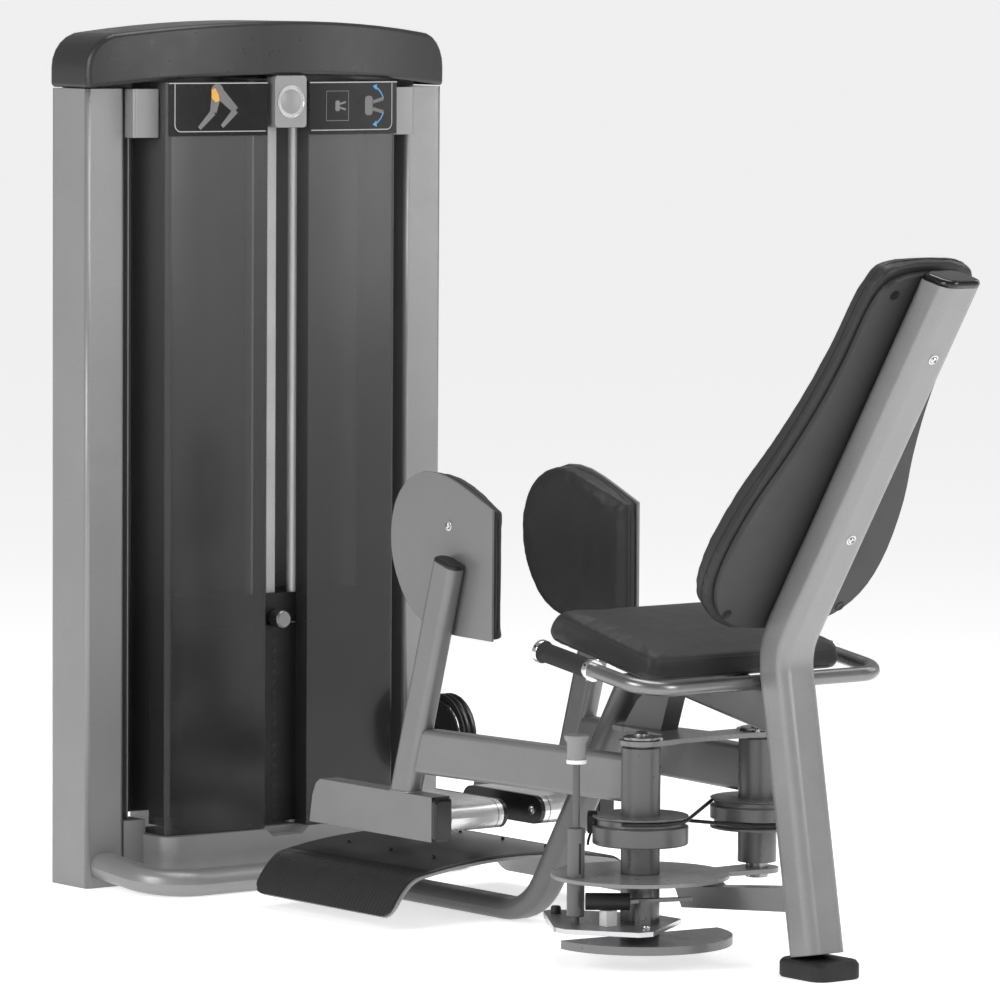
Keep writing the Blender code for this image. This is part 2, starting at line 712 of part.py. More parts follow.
def squeezed(y, z, share):
    """A point of the curl drawn up along it, so that the curl ends sooner."""
    side = 1 if y > 0 else -1
    fallen = (STEP_CREASE_Z - z) / (STEP_CREASE_Z - STEP_EDGE_Z) * share
    reach = curl_reach(fallen)
    across = STEP_CREASE_Y + (STEP_EDGE_Y - STEP_CREASE_Y) * reach
    return (side * across, STEP_CREASE_Z - fallen * (STEP_CREASE_Z - STEP_EDGE_Z))


def curl_reach(fallen):
    """How far across the curl lies, as a share, where it has fallen by a share."""
    for (across, down), (next_across, next_down) in zip(CURL, CURL[1:]):
        if fallen <= next_down:
            return across + (next_across - across) * (fallen - down) / (next_down - down)
    return 1.0


def curled_sheet(low, high, x_stops):
    """A sheet between two offsets of the step's line, from the first stop to the last."""
    rings = []
    for x in x_stops:
        section = sheet_outline(curl_slice(STEP_CORNER, x), low, high)
        rings.append([Vector((x, y, z)) for y, z in section])
    return loft(rings)


def foot_step():
    turn_in = [STEP_CORNER * (1 - cos(pi / 2 * step / 6)) for step in range(7)]
    mat_end = STEP_FRONT - STEP_RIM
    stops = {mat_end}
    for reach in turn_in:
        stops |= {STEP_BACK + reach, STEP_FRONT - reach}
    add("foot_step", curled_sheet(-STEP_SKIN, 0, sorted(stops)), SILVER)
    mat_stops = sorted(x for x in stops if x <= mat_end)
    add("foot_mat", curled_sheet(MAT_GAP, MAT_GAP + MAT_SKIN, mat_stops), RUBBER)


# ---- rear frame, seat and back ------------------------------------------------------------
def tilted(x, y, z):
    """A point in the seat's tilted frame: x rearward, y across and z up from its rear top edge."""
    place = Vector((x * cos(TILT) + z * sin(TILT), y, -x * sin(TILT) + z * cos(TILT)))
    return SEAT_REAR + place


def post_front(z):
    """Front face of the rear post's lower leg at height z."""
    lean = (REAR_KNEE.x - REAR_FOOT.x) / (REAR_KNEE.z - REAR_FOOT.z)
    return REAR_FOOT.x + (z - REAR_FOOT.z) * lean - POST_T / 2 / cos(atan2(-lean, 1))


def rear_frame():
    end = (REAR_END_FRONT + REAR_END_BACK) / 2
    path = bent([REAR_FOOT, REAR_KNEE, end], REAR_BEND, 8)
    section = rounded_rect(POST_T, POST_W, REAR_POST_CORNER, 4)
    end_across = (REAR_END_BACK - REAR_END_FRONT) / POST_T
    post = add("rear_post", sweep(section, path, Y_AXIS, end_across), SILVER)
    foot_cut = box(0.55, 0.75, -0.1, 0.1, 0.0, RUBBER_FOOT_H + GAP)
    combine(post, [add("post_foot_cut", foot_cut, None)], "DIFFERENCE")

    up = Vector((sin(BACK_LEAN), 0, cos(BACK_LEAN)))
    rings = []
    for rise, shrink in ((GAP, 1.0), (0.006, 1.0), (0.011, 0.93), (0.013, 0.80)):
        middle = end + up * rise
        rings.append([middle + end_across * a * shrink + Y_AXIS * b * shrink for a, b in section])
    add("rear_post_cap", loft(rings), GRAPHITE)

    foot_x = REAR_FOOT.x + 0.006
    rings = []
    for z, grow in ((0.0, 0.0), (0.003, 0.003), (0.024, 0.003), (RUBBER_FOOT_H, -0.004)):
        plan = rounded_rect(0.110 + grow, 0.094 + grow, 0.024, 4)
        rings.append([Vector((foot_x + a, b, z)) for a, b in plan])
    add("rear_foot", loft(rings), RUBBER)

    bar_x = post_front(BAR_REAR_Z) - BAR_R - GAP
    forward = Vector((-cos(BAR_TILT), 0, sin(BAR_TILT)))
    rear = Vector((bar_x, 0, BAR_REAR_Z))
    reach = forward * 0.272
    corners = [rear + Y_AXIS * -BAR_HALF + reach, rear + Y_AXIS * -BAR_HALF]
    corners += [rear + Y_AXIS * BAR_HALF, rear + Y_AXIS * BAR_HALF + reach]
    normal = Vector((sin(BAR_TILT), 0, cos(BAR_TILT)))
    add("handlebar", sweep(circle(BAR_R, 12), bent(corners, BAR_BEND, 6), normal), STEEL)
    for side in (LEFT, RIGHT):
        tip = rear + Y_AXIS * side * BAR_HALF + reach
        bore, flare, back = BAR_R + GAP, GRIP_R + 0.002, -GRIP_LENGTH
        profile = [(bore, back), (flare, back), (flare, back + 0.006), (GRIP_R, back + 0.008)]
        profile += [(GRIP_R, -0.008), (flare, -0.006), (flare, 0.004), (bore, 0.004)]
        add(f"{SIDE_NAMES[side]}_grip", turned(profile, tip, forward, 20), RUBBER)

    seat_rail(rear)


def seat_rail(bar_middle):
    """The rail under the seat, coped round the handlebar and against the post, with its gusset."""
    under = -SEAT_T - GAP
    start, finish = tilted(-0.311, 0, under - RAIL_H / 2), tilted(0.090, 0, under - RAIL_H / 2)
    rail = sweep(rounded_rect(RAIL_H, RAIL_W, 0.008, 3), [start, finish], Y_AXIS)
    rail = add("seat_rail", rail, SILVER)
    bar_cut = rod(bar_middle - Y_AXIS * 0.1, bar_middle + Y_AXIS * 0.1, BAR_R + GAP, 24)
    behind = [(post_front(z) - GAP, z) for z in (0.30, 0.52)] + [(0.8, 0.52), (0.8, 0.30)]
    cuts = [add("rail_bar_cut", bar_cut, None)]
    cuts.append(add("rail_post_cut", side_prism(behind, -0.1, 0.1), None))
    combine(rail, cuts, "DIFFERENCE")

    rail_foot = tilted(-0.32, 0, under - RAIL_H + GAP)

    def rail_under(x):
        return (x, rail_foot.z - (x - rail_foot.x) * tan(TILT))

    plate_top = SHAFT_TOP
    gusset = [(0.165, plate_top), (0.262, plate_top), rail_under(0.285), rail_under(0.240), (0.2, 0.405)]
    combine(rail, [add("seat_gusset", side_prism(gusset, -0.018, 0.018), None)], "UNION")


def seat():
    """A pad that thickens forward and is crowned on top."""
    rings = []
    for depth, front, inset in SEAT_PROFILE:
        length = front - inset
        corner = min(SEAT_CORNER, length / 2)
        ring = []
        for a, b in rounded_rect(length, 2 * (SEAT_HALF - inset), corner, 4):
            along = a - inset - length / 2
            wedge = SEAT_WEDGE * (1 - depth) * -along / SEAT_PROFILE[0][1]
            ring.append(tilted(along, b, -SEAT_T * depth + wedge))
        rings.append(ring)
    add("seat_pad", loft(rings), VINYL)


def back_point(rise, across, proud):
    """A point on the back rest: rise up its slope, across in Y, proud of the post's front face."""
    foot = Vector((0.5229, 0, 0.540))
    up = Vector((sin(BACK_LEAN), 0, cos(BACK_LEAN)))
    out = Vector((-cos(BACK_LEAN), 0, sin(BACK_LEAN)))
    return foot + up * rise + out * proud + Y_AXIS * across


def back_outline(inset=0.0):
    """The back rest's outline as (rise, across), drawn in evenly by the inset."""
    squeeze = 1 - 2 * inset / BACK_HEIGHT
    half = [(inset + rise * squeeze, max(0.0, width - inset * (width > 0))) for rise, width in BACK_HALF]
    return smooth_loop(half + [(rise, -width) for rise, width in reversed(half[1:-1])], 3)


def back_rest():
    inset_outline = back_outline(BOARD_INSET)
    rear = [back_point(rise, across, GAP) for rise, across in inset_outline]
    front = [back_point(rise, across, BOARD_T) for rise, across in inset_outline]
    add("back_board", loft([rear, front]), BOARD)
    rings = []
    for depth, shrink in ((0.0, 0.975), (0.10, 1.0), (0.60, 1.0), (0.88, 0.965), (1.0, 0.87)):
        ring = []
        for rise, across in back_outline():
            thick = BACK_PAD_T * (1.0 - 0.28 * rise / BACK_HEIGHT)
            middle = BACK_HEIGHT / 2 + (rise - BACK_HEIGHT / 2) * (0.7 + 0.3 * shrink)
            ring.append(back_point(middle, across * shrink, BOARD_T + GAP + thick * depth))
        rings.append(ring)
    add("back_pad", loft(rings), VINYL)


# ---- pivots, arms and linkage -------------------------------------------------------------
def pivot_place(side, z=0.0):
    return Vector((PIVOT_X, side * PIVOT_Y, z))


def bearing_plate(name, z0, tongue_x):
    """A bow-tie plate that ties both pivots together, with a tongue forward at its middle."""
    end_r, waist = 0.036, 0.024
    shape = []
    for side, turn in ((LEFT, -pi / 2), (RIGHT, pi / 2)):
        centre = pivot_place(side)
        spread = radians(105)
        for step in range(13):
            angle = turn - spread + 2 * spread * step / 12
            shape.append((centre.x + end_r * cos(angle), centre.y + end_r * sin(angle)))
        if side == LEFT:
            shape += [(PIVOT_X + waist, -0.05), (PIVOT_X + waist, 0.05)]
    shoulder_x = PIVOT_X - waist - 0.010
    shape += [(shoulder_x, 0.048), (tongue_x, 0.028), (tongue_x, -0.028), (shoulder_x, -0.048)]
    made = add(name, upright_prism(shape, z0, z0 + BEARING_T), SILVER)
    bores = []
    for side in (LEFT, RIGHT):
        low = pivot_place(side, z0 - 0.01)
        bore = rod(low, low + Z_AXIS * 0.03, SHAFT_R + GAP, 24)
        bores.append(add(f"{name}_bore_{side}", bore, None))
    return combine(made, bores, "DIFFERENCE")


def pivots():
    plate_z = SHAFT_TOP - GAP - BEARING_T
    spine_x = SPINE_KNEE.x + (plate_z + BEARING_T / 2 - SPINE_KNEE.z) * tan(SPINE_LEAN)
    bearing_plate("top_bearing_plate", plate_z, spine_x + 0.5 * OVAL_H / cos(SPINE_LEAN) + 0.006)
    lower = bearing_plate("lower_bearing_plate", 0.1265, PIVOT_X - 0.055)
    run = [(PIVOT_X - 0.045, 0.130), (PIVOT_X + 0.020, 0.130), (PIVOT_X + 0.040, 0.117)]
    run += [(post_front(0.138) - GAP, 0.138), (post_front(0.100) - GAP, 0.100), (PIVOT_X - 0.015, 0.077)]
    beam = add("lower_beam", side_prism(run, -0.024, 0.024), None)
    combine(lower, [beam], "UNION")
    for side in (LEFT, RIGHT):
        low = 0.016 if side == LEFT else 0.118
        shaft = SHAFT_R - 0.0005
        profile = [(0, low), (shaft, low), (shaft, SHAFT_TOP), (0.030, SHAFT_TOP), (0.030, 0.366)]
        profile += [(0.012, 0.366), (0.012, 0.370), (0.008, 0.374), (0, 0.375)]
        made = turned(profile, pivot_place(side), Z_AXIS, 24)
        add(f"{SIDE_NAMES[side]}_pivot_shaft", made, STEEL)


def pad_outline():
    """Side view (x, z) of a knee pad: square along its rear edge, sloped on top and round in front."""
    front = [(PAD_REAR_X, 0.709), (-0.075, 0.735), (-0.140, 0.758), (-0.200, 0.7625), (-0.250, 0.742)]
    front += [(-0.281, 0.703), (-0.291, 0.656), (-0.286, 0.610), (-0.264, 0.563), (-0.226, 0.522)]
    front += [(-0.170, 0.499), (-0.104, 0.493), (PAD_REAR_X, 0.491)]
    return smooth_line(front)


def arm(side, hinge):
    name = SIDE_NAMES[side]
    centre = pivot_place(side)
    outer, inner = TUBE_R, SHAFT_R + GAP
    profile = [(inner, TUBE_BOTTOM), (outer, TUBE_BOTTOM), (outer, TUBE_TOP), (inner, TUBE_TOP)]
    add(f"{name}_pivot_tube", turned(profile, centre, Z_AXIS, 28), SILVER, hinge)

    lean = Vector((sin(UPRIGHT_LEAN), 0, cos(UPRIGHT_LEAN)))
    face_y = side * (PLATE_Y + GAP + UPRIGHT_W / 2)
    foot_top = FOOT_Z0 + STOCK_H
    foot = Vector((UPRIGHT_FOOT.x - 0.02 * tan(UPRIGHT_LEAN), face_y, UPRIGHT_FOOT.z - 0.02))
    top = foot + lean * ((UPRIGHT_TOP_Z - foot.z) / lean.z)
    upright = sweep(rounded_rect(UPRIGHT_T, UPRIGHT_W, 0.014, 4), [foot, top], Y_AXIS)
    trim = box(-0.35, -0.10, face_y - 0.05, face_y + 0.05, 0.15, foot_top + GAP)
    trim = add(f"{name}_upright_trim", trim, None)
    cap_rings = []
    across = Y_AXIS.cross(lean)
    for rise, shrink in ((-0.002, 0.98), (0.004, 0.98), (0.007, 0.86)):
        middle = top + lean * rise
        plan = rounded_rect(UPRIGHT_T * shrink, UPRIGHT_W * shrink, 0.014 * shrink, 4)
        cap_rings.append([middle + across * a + Y_AXIS * b for a, b in plan])
    crown = add(f"{name}_upright_crown", loft(cap_rings), None)
    made = combine(add(f"{name}_upright", upright, SILVER, hinge), [crown], "UNION")
    combine(made, [trim], "DIFFERENCE")

    rear_offset = (UPRIGHT_T / 2 + GAP) / cos(UPRIGHT_LEAN)
    join_x = UPRIGHT_FOOT.x + (ARM_Z - UPRIGHT_FOOT.z) * tan(UPRIGHT_LEAN) + rear_offset
    join_y = PLATE_Y + GAP + UPRIGHT_W - STOCK_W / 2
    start = Vector((join_x - 0.03, side * join_y, ARM_Z))
    finish = Vector((PIVOT_X, side * PIVOT_Y, ARM_Z))
    along = (finish - start).normalized()
    square = along.cross(Z_AXIS)
    tube = prism(rounded_rect(STOCK_H, STOCK_W, 0.009, 3), start, Z_AXIS, square, finish - start)
    bore = rod(centre + Z_AXIS * 0.2, centre + Z_AXIS * 0.4, TUBE_R + GAP, 28)
    bore = add(f"{name}_arm_cope", bore, None)
    slope = []
    for z in (0.22, 0.37):
        slope.append((UPRIGHT_FOOT.x + (z - UPRIGHT_FOOT.z) * tan(UPRIGHT_LEAN) + rear_offset, z))
    slope += [(slope[1][0] - 0.12, 0.37), (slope[0][0] - 0.12, 0.22)]
    front_cut = add(f"{name}_arm_front_cut", side_prism(slope, side * 0.05, side * 0.30), None)
    combine(add(f"{name}_arm_tube", tube, SILVER, hinge), [bore, front_cut], "DIFFERENCE")

    z1 = FOOT_Z0 + STOCK_H
    side_view = [(FOOT_REAR_X, FOOT_Z0), (FOOT_REAR_X, z1), (FOOT_FRONT_X + 0.022, z1)]
    side_view += [(FOOT_FRONT_X + 0.010, z1 - 0.008), (FOOT_FRONT_X, z1 - 0.030)]
    side_view.append((FOOT_FRONT_X - 0.008, FOOT_Z0))
    bar = side_prism(side_view, side * (FOOT_Y - STOCK_W / 2), side * (FOOT_Y + STOCK_W / 2))
    end_cap = []
    for reach, shrink in ((-0.001, 0.97), (0.006, 0.97), (0.010, 0.80)):
        middle = Vector((FOOT_REAR_X + reach, side * FOOT_Y, FOOT_Z0 + STOCK_H / 2))
        plan = rounded_rect(STOCK_W * shrink, STOCK_H * shrink, 0.008 * shrink, 3)
        end_cap.append([middle + Y_AXIS * a + Z_AXIS * b for a, b in plan])
    stopper = add(f"{name}_foot_stopper", loft(end_cap), None)
    combine(add(f"{name}_foot_tube", bar, SILVER, hinge), [stopper], "UNION")

    rest = [((REST_X0 + REST_X1) / 2 + a, REST_Z + b) for a, b in stadium(REST_X1 - REST_X0, REST_T, 6)]
    root, tip = side * (FOOT_Y - STOCK_W / 2 - GAP), side * REST_INNER
    add(f"{name}_footrest", side_prism(rest, root, tip), CHROME, hinge)

    outline = pad_outline()
    plate = side_prism(outline, side * PLATE_Y, side * (PLATE_Y - PLATE_T))
    add(f"{name}_pad_plate", plate, SILVER, hinge)
    rings = []
    for depth, shrink in PAD_PROFILE:
        ring = []
        for x, z in outline:
            x = PAD_MIDDLE.x + (x - PAD_MIDDLE.x) * shrink
            z = PAD_MIDDLE.z + (z - PAD_MIDDLE.z) * shrink
            fade = min(1.0, (PAD_REAR_X - x) / PAD_FADE)
            thick = PAD_THIN + (PAD_THICK - PAD_THIN) * (1 - (1 - fade) ** 2)
            ring.append(Vector((x, side * (PLATE_Y - PLATE_T - GAP - thick * depth), z)))
        rings.append(ring)
    add(f"{name}_knee_pad", loft(rings), VINYL, hinge)


def cable_wheels(hinges):
    bore = TUBE_R + GAP
    rim, deep = WHEEL_R, GROOVE_R
    left = [(bore, 0.191), (rim - 0.002, 0.191), (rim, 0.193), (rim, 0.221), (deep, 0.223)]
    left += [(deep, 0.233), (rim, 0.235), (rim, 0.2385), (bore, 0.2385)]
    right = [(bore, 0.200), (rim, 0.200), (rim, 0.204), (deep, 0.206), (deep, 0.214), (rim, 0.216)]
    right += [(rim, 0.237), (deep, 0.239), (deep, 0.246), (rim, 0.248), (rim, 0.250), (bore, 0.250)]
    for side, profile in ((LEFT, left), (RIGHT, right)):
        wheel = turned(profile, pivot_place(side), Z_AXIS, 40)
        add(f"{SIDE_NAMES[side]}_cable_wheel", wheel, SILVER, hinges[side])

    radius = GROOVE_R + CABLE_R + 3 * GAP
    lean = pi / 2 - atan2(2 * radius, (4 * PIVOT_Y**2 - 4 * radius**2) ** 0.5)
    wrap, steps = radians(100), 12
    for name, sense, near_z, far_z in (("upper", 1, 0.2303, 0.2425), ("lower", -1, 0.2260, 0.2100)):
        leave = pi / 2 - sense * lean
        turns = [(LEFT, near_z, leave - sense * wrap * (1 - step / steps)) for step in range(steps + 1)]
        turns += [(RIGHT, far_z, leave + pi - sense * wrap * step / steps) for step in range(steps + 1)]
        path = []
        for side, z, angle in turns:
            path.append(pivot_place(side, z) + Vector((cos(angle), sin(angle), 0)) * radius)
        add(f"{name}_cross_cable", sweep(circle(CABLE_R, 8), path, Z_AXIS), RUBBER)


def start_adjuster(hinge):
    """The disc under the left arm, the pull pin in its sleeve, and the cam that the pin picks up."""
    centre = pivot_place(LEFT)
    pin_place = centre + PIN_OFFSET
    disc_top = TUBE_BOTTOM - GAP
    disc_under, bore = disc_top - DISC_T, SHAFT_R + GAP
    profile = [(bore, disc_under), (DISC_R, disc_under), (DISC_R, disc_top), (bore, disc_top)]
    disc = add("index_disc", turned(profile, centre, Z_AXIS, 56), SILVER, hinge)
    low = pin_place + Z_AXIS * 0.05
    hole = add("index_disc_hole", rod(low, low + Z_AXIS * 0.2, SLEEVE_R + GAP, 20), None)
    combine(disc, [hole], "DIFFERENCE")

    pin_bore = 0.0068
    profile = [(pin_bore, 0.080), (SLEEVE_R - 0.001, 0.080), (SLEEVE_R, 0.082)]
    profile += [(SLEEVE_R, SLEEVE_TOP), (pin_bore, SLEEVE_TOP)]
    add("pin_sleeve", turned(profile, pin_place, Z_AXIS, 20), STEEL, hinge)

    slide = pivot("pull_pin_slide", pin_place + Z_AXIS * SLEEVE_TOP)
    profile = [(0, 0.0615), (0.0045, 0.0625), (0.006, 0.066), (0.006, KNOB_FOOT), (0.0165, KNOB_FOOT)]
    profile += [(0.0165, KNOB_FOOT + 0.006), (0.0155, KNOB_FOOT + 0.007), (0.0160, KNOB_TOP - 0.014)]
    profile += [(0.0205, KNOB_TOP - 0.006), (0.0205, KNOB_TOP - 0.001), (0, KNOB_TOP)]
    add("pull_pin", turned(profile, pin_place, Z_AXIS, 20), GRAPHITE, slide)
    drive_cam(centre, low)


def drive_cam(centre, pin_low):
    """A half disc with its hub, the lever plate, the bumper's nut and the blade behind the bumper."""
    hinge = pivot("drive_cam_pivot", centre)
    cam = sector(CAM_R, 0.012, radians(-96), radians(84), CAM_Z0, CAM_Z1, centre, 28)
    made = add("drive_cam", cam, STEEL, hinge)
    hub = rod(centre + Z_AXIS * CAM_Z0, centre + Z_AXIS * 0.1255, 0.032, 28)
    inside = LEVER_Z0 + 0.004
    nut = box(0.365, 0.383, -0.226, -0.204, inside, BUMPER_START.z - BUMPER_R - GAP)
    along = (BUMPER_END - BUMPER_START).normalized()
    blade = [(0.0, -0.011), (0.102, 0.028), (0.104, 0.034), (0.0, 0.011)]
    blade_root = BUMPER_END + along * GAP - Z_AXIS * 0.002
    blade = prism(blade, blade_root, along, Z_AXIS.cross(along), Z_AXIS * 0.006)
    foot = box(0.398, 0.414, -0.180, -0.160, inside, BUMPER_END.z + 0.002)
    lever = upright_prism(LEVER_PLAN, LEVER_Z0, LEVER_Z1)
    joined = (("hub", hub), ("lever", lever), ("nut", nut), ("foot", foot), ("blade", blade))
    combine(made, [add(f"drive_{name}", solid, None) for name, solid in joined], "UNION")
    bore = add("drive_cam_bore", rod(centre, centre + Z_AXIS * 0.2, SHAFT_R + GAP, 24), None)
    eye = add("drive_lever_eye", rod(pin_low, pin_low + Z_AXIS * 0.03, 0.0075, 16), None)
    combine(made, [bore, eye], "DIFFERENCE")
    add("bumper", rod(BUMPER_START, BUMPER_END, BUMPER_R, 20), RUBBER, hinge)


tower()
weight_stack()
base()
foot_step()
rear_frame()
seat()
back_rest()
pivots()
arm_hinges = {}
for arm_side in (LEFT, RIGHT):
    arm_hinges[arm_side] = pivot(f"{SIDE_NAMES[arm_side]}_arm_pivot", pivot_place(arm_side))
for arm_side, arm_hinge in arm_hinges.items():
    arm(arm_side, arm_hinge)
cable_wheels(arm_hinges)
start_adjuster(arm_hinges[LEFT])
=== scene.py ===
"""Looks of a seated hip abductor machine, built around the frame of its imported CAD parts.

Metres, +Z up. The weight tower stands at -X, the seat at +X, and the user's left is -Y.
"""

import json
from math import atan2, cos, pi, radians, sin

import bmesh
import bpy
from mathutils import Matrix, Vector, noise

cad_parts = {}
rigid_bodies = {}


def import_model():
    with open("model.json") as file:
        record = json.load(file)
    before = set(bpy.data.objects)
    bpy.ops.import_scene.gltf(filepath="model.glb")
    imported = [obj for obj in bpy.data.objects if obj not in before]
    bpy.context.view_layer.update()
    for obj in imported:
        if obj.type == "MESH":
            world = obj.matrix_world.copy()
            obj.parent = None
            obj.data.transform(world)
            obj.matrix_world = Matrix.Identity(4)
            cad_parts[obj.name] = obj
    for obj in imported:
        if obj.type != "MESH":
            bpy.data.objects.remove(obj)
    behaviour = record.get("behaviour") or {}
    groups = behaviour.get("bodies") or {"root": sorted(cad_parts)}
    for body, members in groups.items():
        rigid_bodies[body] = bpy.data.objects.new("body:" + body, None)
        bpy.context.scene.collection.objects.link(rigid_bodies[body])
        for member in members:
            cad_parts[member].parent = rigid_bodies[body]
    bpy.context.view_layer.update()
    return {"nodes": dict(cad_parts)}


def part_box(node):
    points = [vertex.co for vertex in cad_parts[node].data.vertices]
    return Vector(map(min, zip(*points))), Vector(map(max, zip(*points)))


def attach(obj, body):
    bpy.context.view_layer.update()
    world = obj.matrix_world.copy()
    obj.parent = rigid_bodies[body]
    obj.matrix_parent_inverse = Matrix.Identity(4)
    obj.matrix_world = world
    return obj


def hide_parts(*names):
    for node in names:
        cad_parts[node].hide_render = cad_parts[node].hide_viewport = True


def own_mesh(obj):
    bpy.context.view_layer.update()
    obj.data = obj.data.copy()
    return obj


for stale in list(bpy.data.objects):
    bpy.data.objects.remove(stale, do_unlink=True)

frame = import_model()
NODES = frame["nodes"]

# ---- dimensions shared with the CAD parts ---------------------------------------------------
X_AXIS, Y_AXIS, Z_AXIS = Vector((1, 0, 0)), Vector((0, 1, 0)), Vector((0, 0, 1))
SIDES = (("left", -1), ("right", 1))
SEAT_TILT = radians(10.3)
SEAT_REAR = Vector((0.468, 0, 0.508))
SEAT_UP = Vector((sin(SEAT_TILT), 0, cos(SEAT_TILT)))
SEAT_FORWARD = Vector((-cos(SEAT_TILT), 0, sin(SEAT_TILT)))
SEAT_TOP_UP = (SEAT_UP - SEAT_FORWARD * 0.037).normalized()
BACK_LEAN = radians(32.9)
BACK_FOOT = Vector((0.5229, 0, 0.540))
BAR_TILT = radians(8.4)
BAR_UP = Vector((sin(BAR_TILT), 0, cos(BAR_TILT)))
BAR_FORWARD = Vector((-cos(BAR_TILT), 0, sin(BAR_TILT)))
BACK_UP = Vector((sin(BACK_LEAN), 0, cos(BACK_LEAN)))
BACK_OUT = Vector((-cos(BACK_LEAN), 0, sin(BACK_LEAN)))
POST_REAR_TOP = Vector((0.9760, 0, 1.114))
PIVOT = Vector((0.3414, 0.1232, 0))
PIN = Vector((0.3234, -0.2422, 0))
IDLER = Vector((-0.778, 0.333, 0.232))
GRIP_LENGTH = 0.130
BAR_HALF_WIDTH = 0.250
GRIP_RADIUS = 0.018
KNOB_FOOT = 0.328
UPRIGHT_LEAN = atan2(0.116, 0.3915)
UPRIGHT_UP = Vector((sin(UPRIGHT_LEAN), 0, cos(UPRIGHT_LEAN)))
UPRIGHT_TOP = Vector((-0.1066, 0, 0.613))
FOOT_TUBE_END = -0.1262
FOOTREST_CAP = 0.0445
FOOTREST_GROOVE = (0.0545, 0.0560)
PLATE_FACE = 0.157
PLATE_THICKNESS = 0.0053
PANEL_FRONT, PANEL_SWEEP, PANEL_OUTER = -0.8055, 0.0135, 0.248
STACK_FRONT, STACK_BASE, PLATE_PITCH, PLATE_COUNT = -0.842, 0.093, 0.0186, 19


# ---- materials ----------------------------------------------------------------------------
def shade(tree, kind, **settings):
    made = tree.nodes.new(kind)
    for key, value in settings.items():
        setattr(made, key, value)
    return made


def feed(tree, value, socket):
    if isinstance(value, bpy.types.NodeSocket):
        tree.links.new(value, socket)
    else:
        socket.default_value = value


def figure(tree, operation, first, second=0.0):
    made = shade(tree, "ShaderNodeMath", operation=operation)
    feed(tree, first, made.inputs[0])
    feed(tree, second, made.inputs[1])
    return made.outputs[0]


def speckle(tree, place, scale, detail=2.0):
    made = shade(tree, "ShaderNodeTexNoise")
    feed(tree, place, made.inputs["Vector"])
    made.inputs["Scale"].default_value = scale
    made.inputs["Detail"].default_value = detail
    return made.outputs["Fac"]


def between(tree, value, low, high, start=0.3, end=0.7):
    """A value from start to end, spread over low to high."""
    made = shade(tree, "ShaderNodeMapRange")
    feed(tree, value, made.inputs["Value"])
    for name, number in zip(("From Min", "From Max", "To Min", "To Max"), (start, end, low, high)):
        made.inputs[name].default_value = number
    return made.outputs["Result"]


def pick(tree, mask, first, second):
    """The first colour where the mask is 0, and the second where it is 1."""
    made = shade(tree, "ShaderNodeMix", data_type="RGBA")
    feed(tree, mask, made.inputs[0])
    feed(tree, first, made.inputs[6])
    feed(tree, second, made.inputs[7])
    return made.outputs[2]


def lerp(tree, mask, first, second):
    made = shade(tree, "ShaderNodeMix", data_type="FLOAT")
    feed(tree, mask, made.inputs[0])
    feed(tree, first, made.inputs[2])
    feed(tree, second, made.inputs[3])
    return made.outputs[0]


def travel(origin, axis):
    """A zone's measure: how far a point lies from the origin, along the axis."""
    def measure(tree, place):
        moved = shade(tree, "ShaderNodeVectorMath", operation="SUBTRACT")
        feed(tree, place, moved.inputs[0])
        moved.inputs[1].default_value = origin
        along = shade(tree, "ShaderNodeVectorMath", operation="DOT_PRODUCT")
        feed(tree, moved.outputs[0], along.inputs[0])
        along.inputs[1].default_value = axis
        return along.outputs["Value"]
    return measure


def around(origin, axis):
    """A zone's measure: how far a point lies from an axis through the origin."""
    def measure(tree, place):
        moved = shade(tree, "ShaderNodeVectorMath", operation="SUBTRACT")
        feed(tree, place, moved.inputs[0])
        moved.inputs[1].default_value = origin
        flat = shade(tree, "ShaderNodeVectorMath", operation="MULTIPLY")
        feed(tree, moved.outputs[0], flat.inputs[0])
        flat.inputs[1].default_value = [1 - abs(part) for part in axis]
        size = shade(tree, "ShaderNodeVectorMath", operation="LENGTH")
        feed(tree, flat.outputs[0], size.inputs[0])
        return size.outputs["Value"]
    return measure


def zone(measure, low, high):
    """1 where the measure lies between low and high."""
    def mask(tree, place):
        value = measure(tree, place)
        above = figure(tree, "GREATER_THAN", value, low)
        return figure(tree, "MULTIPLY", above, figure(tree, "LESS_THAN", value, high))
    return mask


def fading(measure, low, high):
    """A soft mask that grows from 0 at low to 1 at high."""
    return lambda tree, place: between(tree, measure(tree, place), 0.0, 1.0, low, high)


def both(first, second):
    return lambda tree, place: figure(tree, "MULTIPLY", first(tree, place), second(tree, place))


def outside(mask):
    return lambda tree, place: figure(tree, "SUBTRACT", 1.0, mask(tree, place))


def relief(tree, place, kind, scale, stretch=(1, 1, 1)):
    """A height pattern: plain noise, slanted bands for a weave, or cells for leather and foam."""
    mapped = shade(tree, "ShaderNodeMapping")
    feed(tree, place, mapped.inputs["Vector"])
    mapped.inputs["Scale"].default_value = stretch
    if kind == "noise":
        return speckle(tree, mapped.outputs[0], scale)
    if kind == "bands":
        made = shade(tree, "ShaderNodeTexWave", wave_type="BANDS", bands_direction="DIAGONAL")
        feed(tree, mapped.outputs[0], made.inputs["Vector"])
        made.inputs["Scale"].default_value = scale
        return made.outputs["Fac"]
    made = shade(tree, "ShaderNodeTexVoronoi", feature="DISTANCE_TO_EDGE")
    feed(tree, mapped.outputs[0], made.inputs["Vector"])
    made.inputs["Scale"].default_value = scale
    return between(tree, made.outputs["Distance"], 0, 1, 0.0, 0.25)


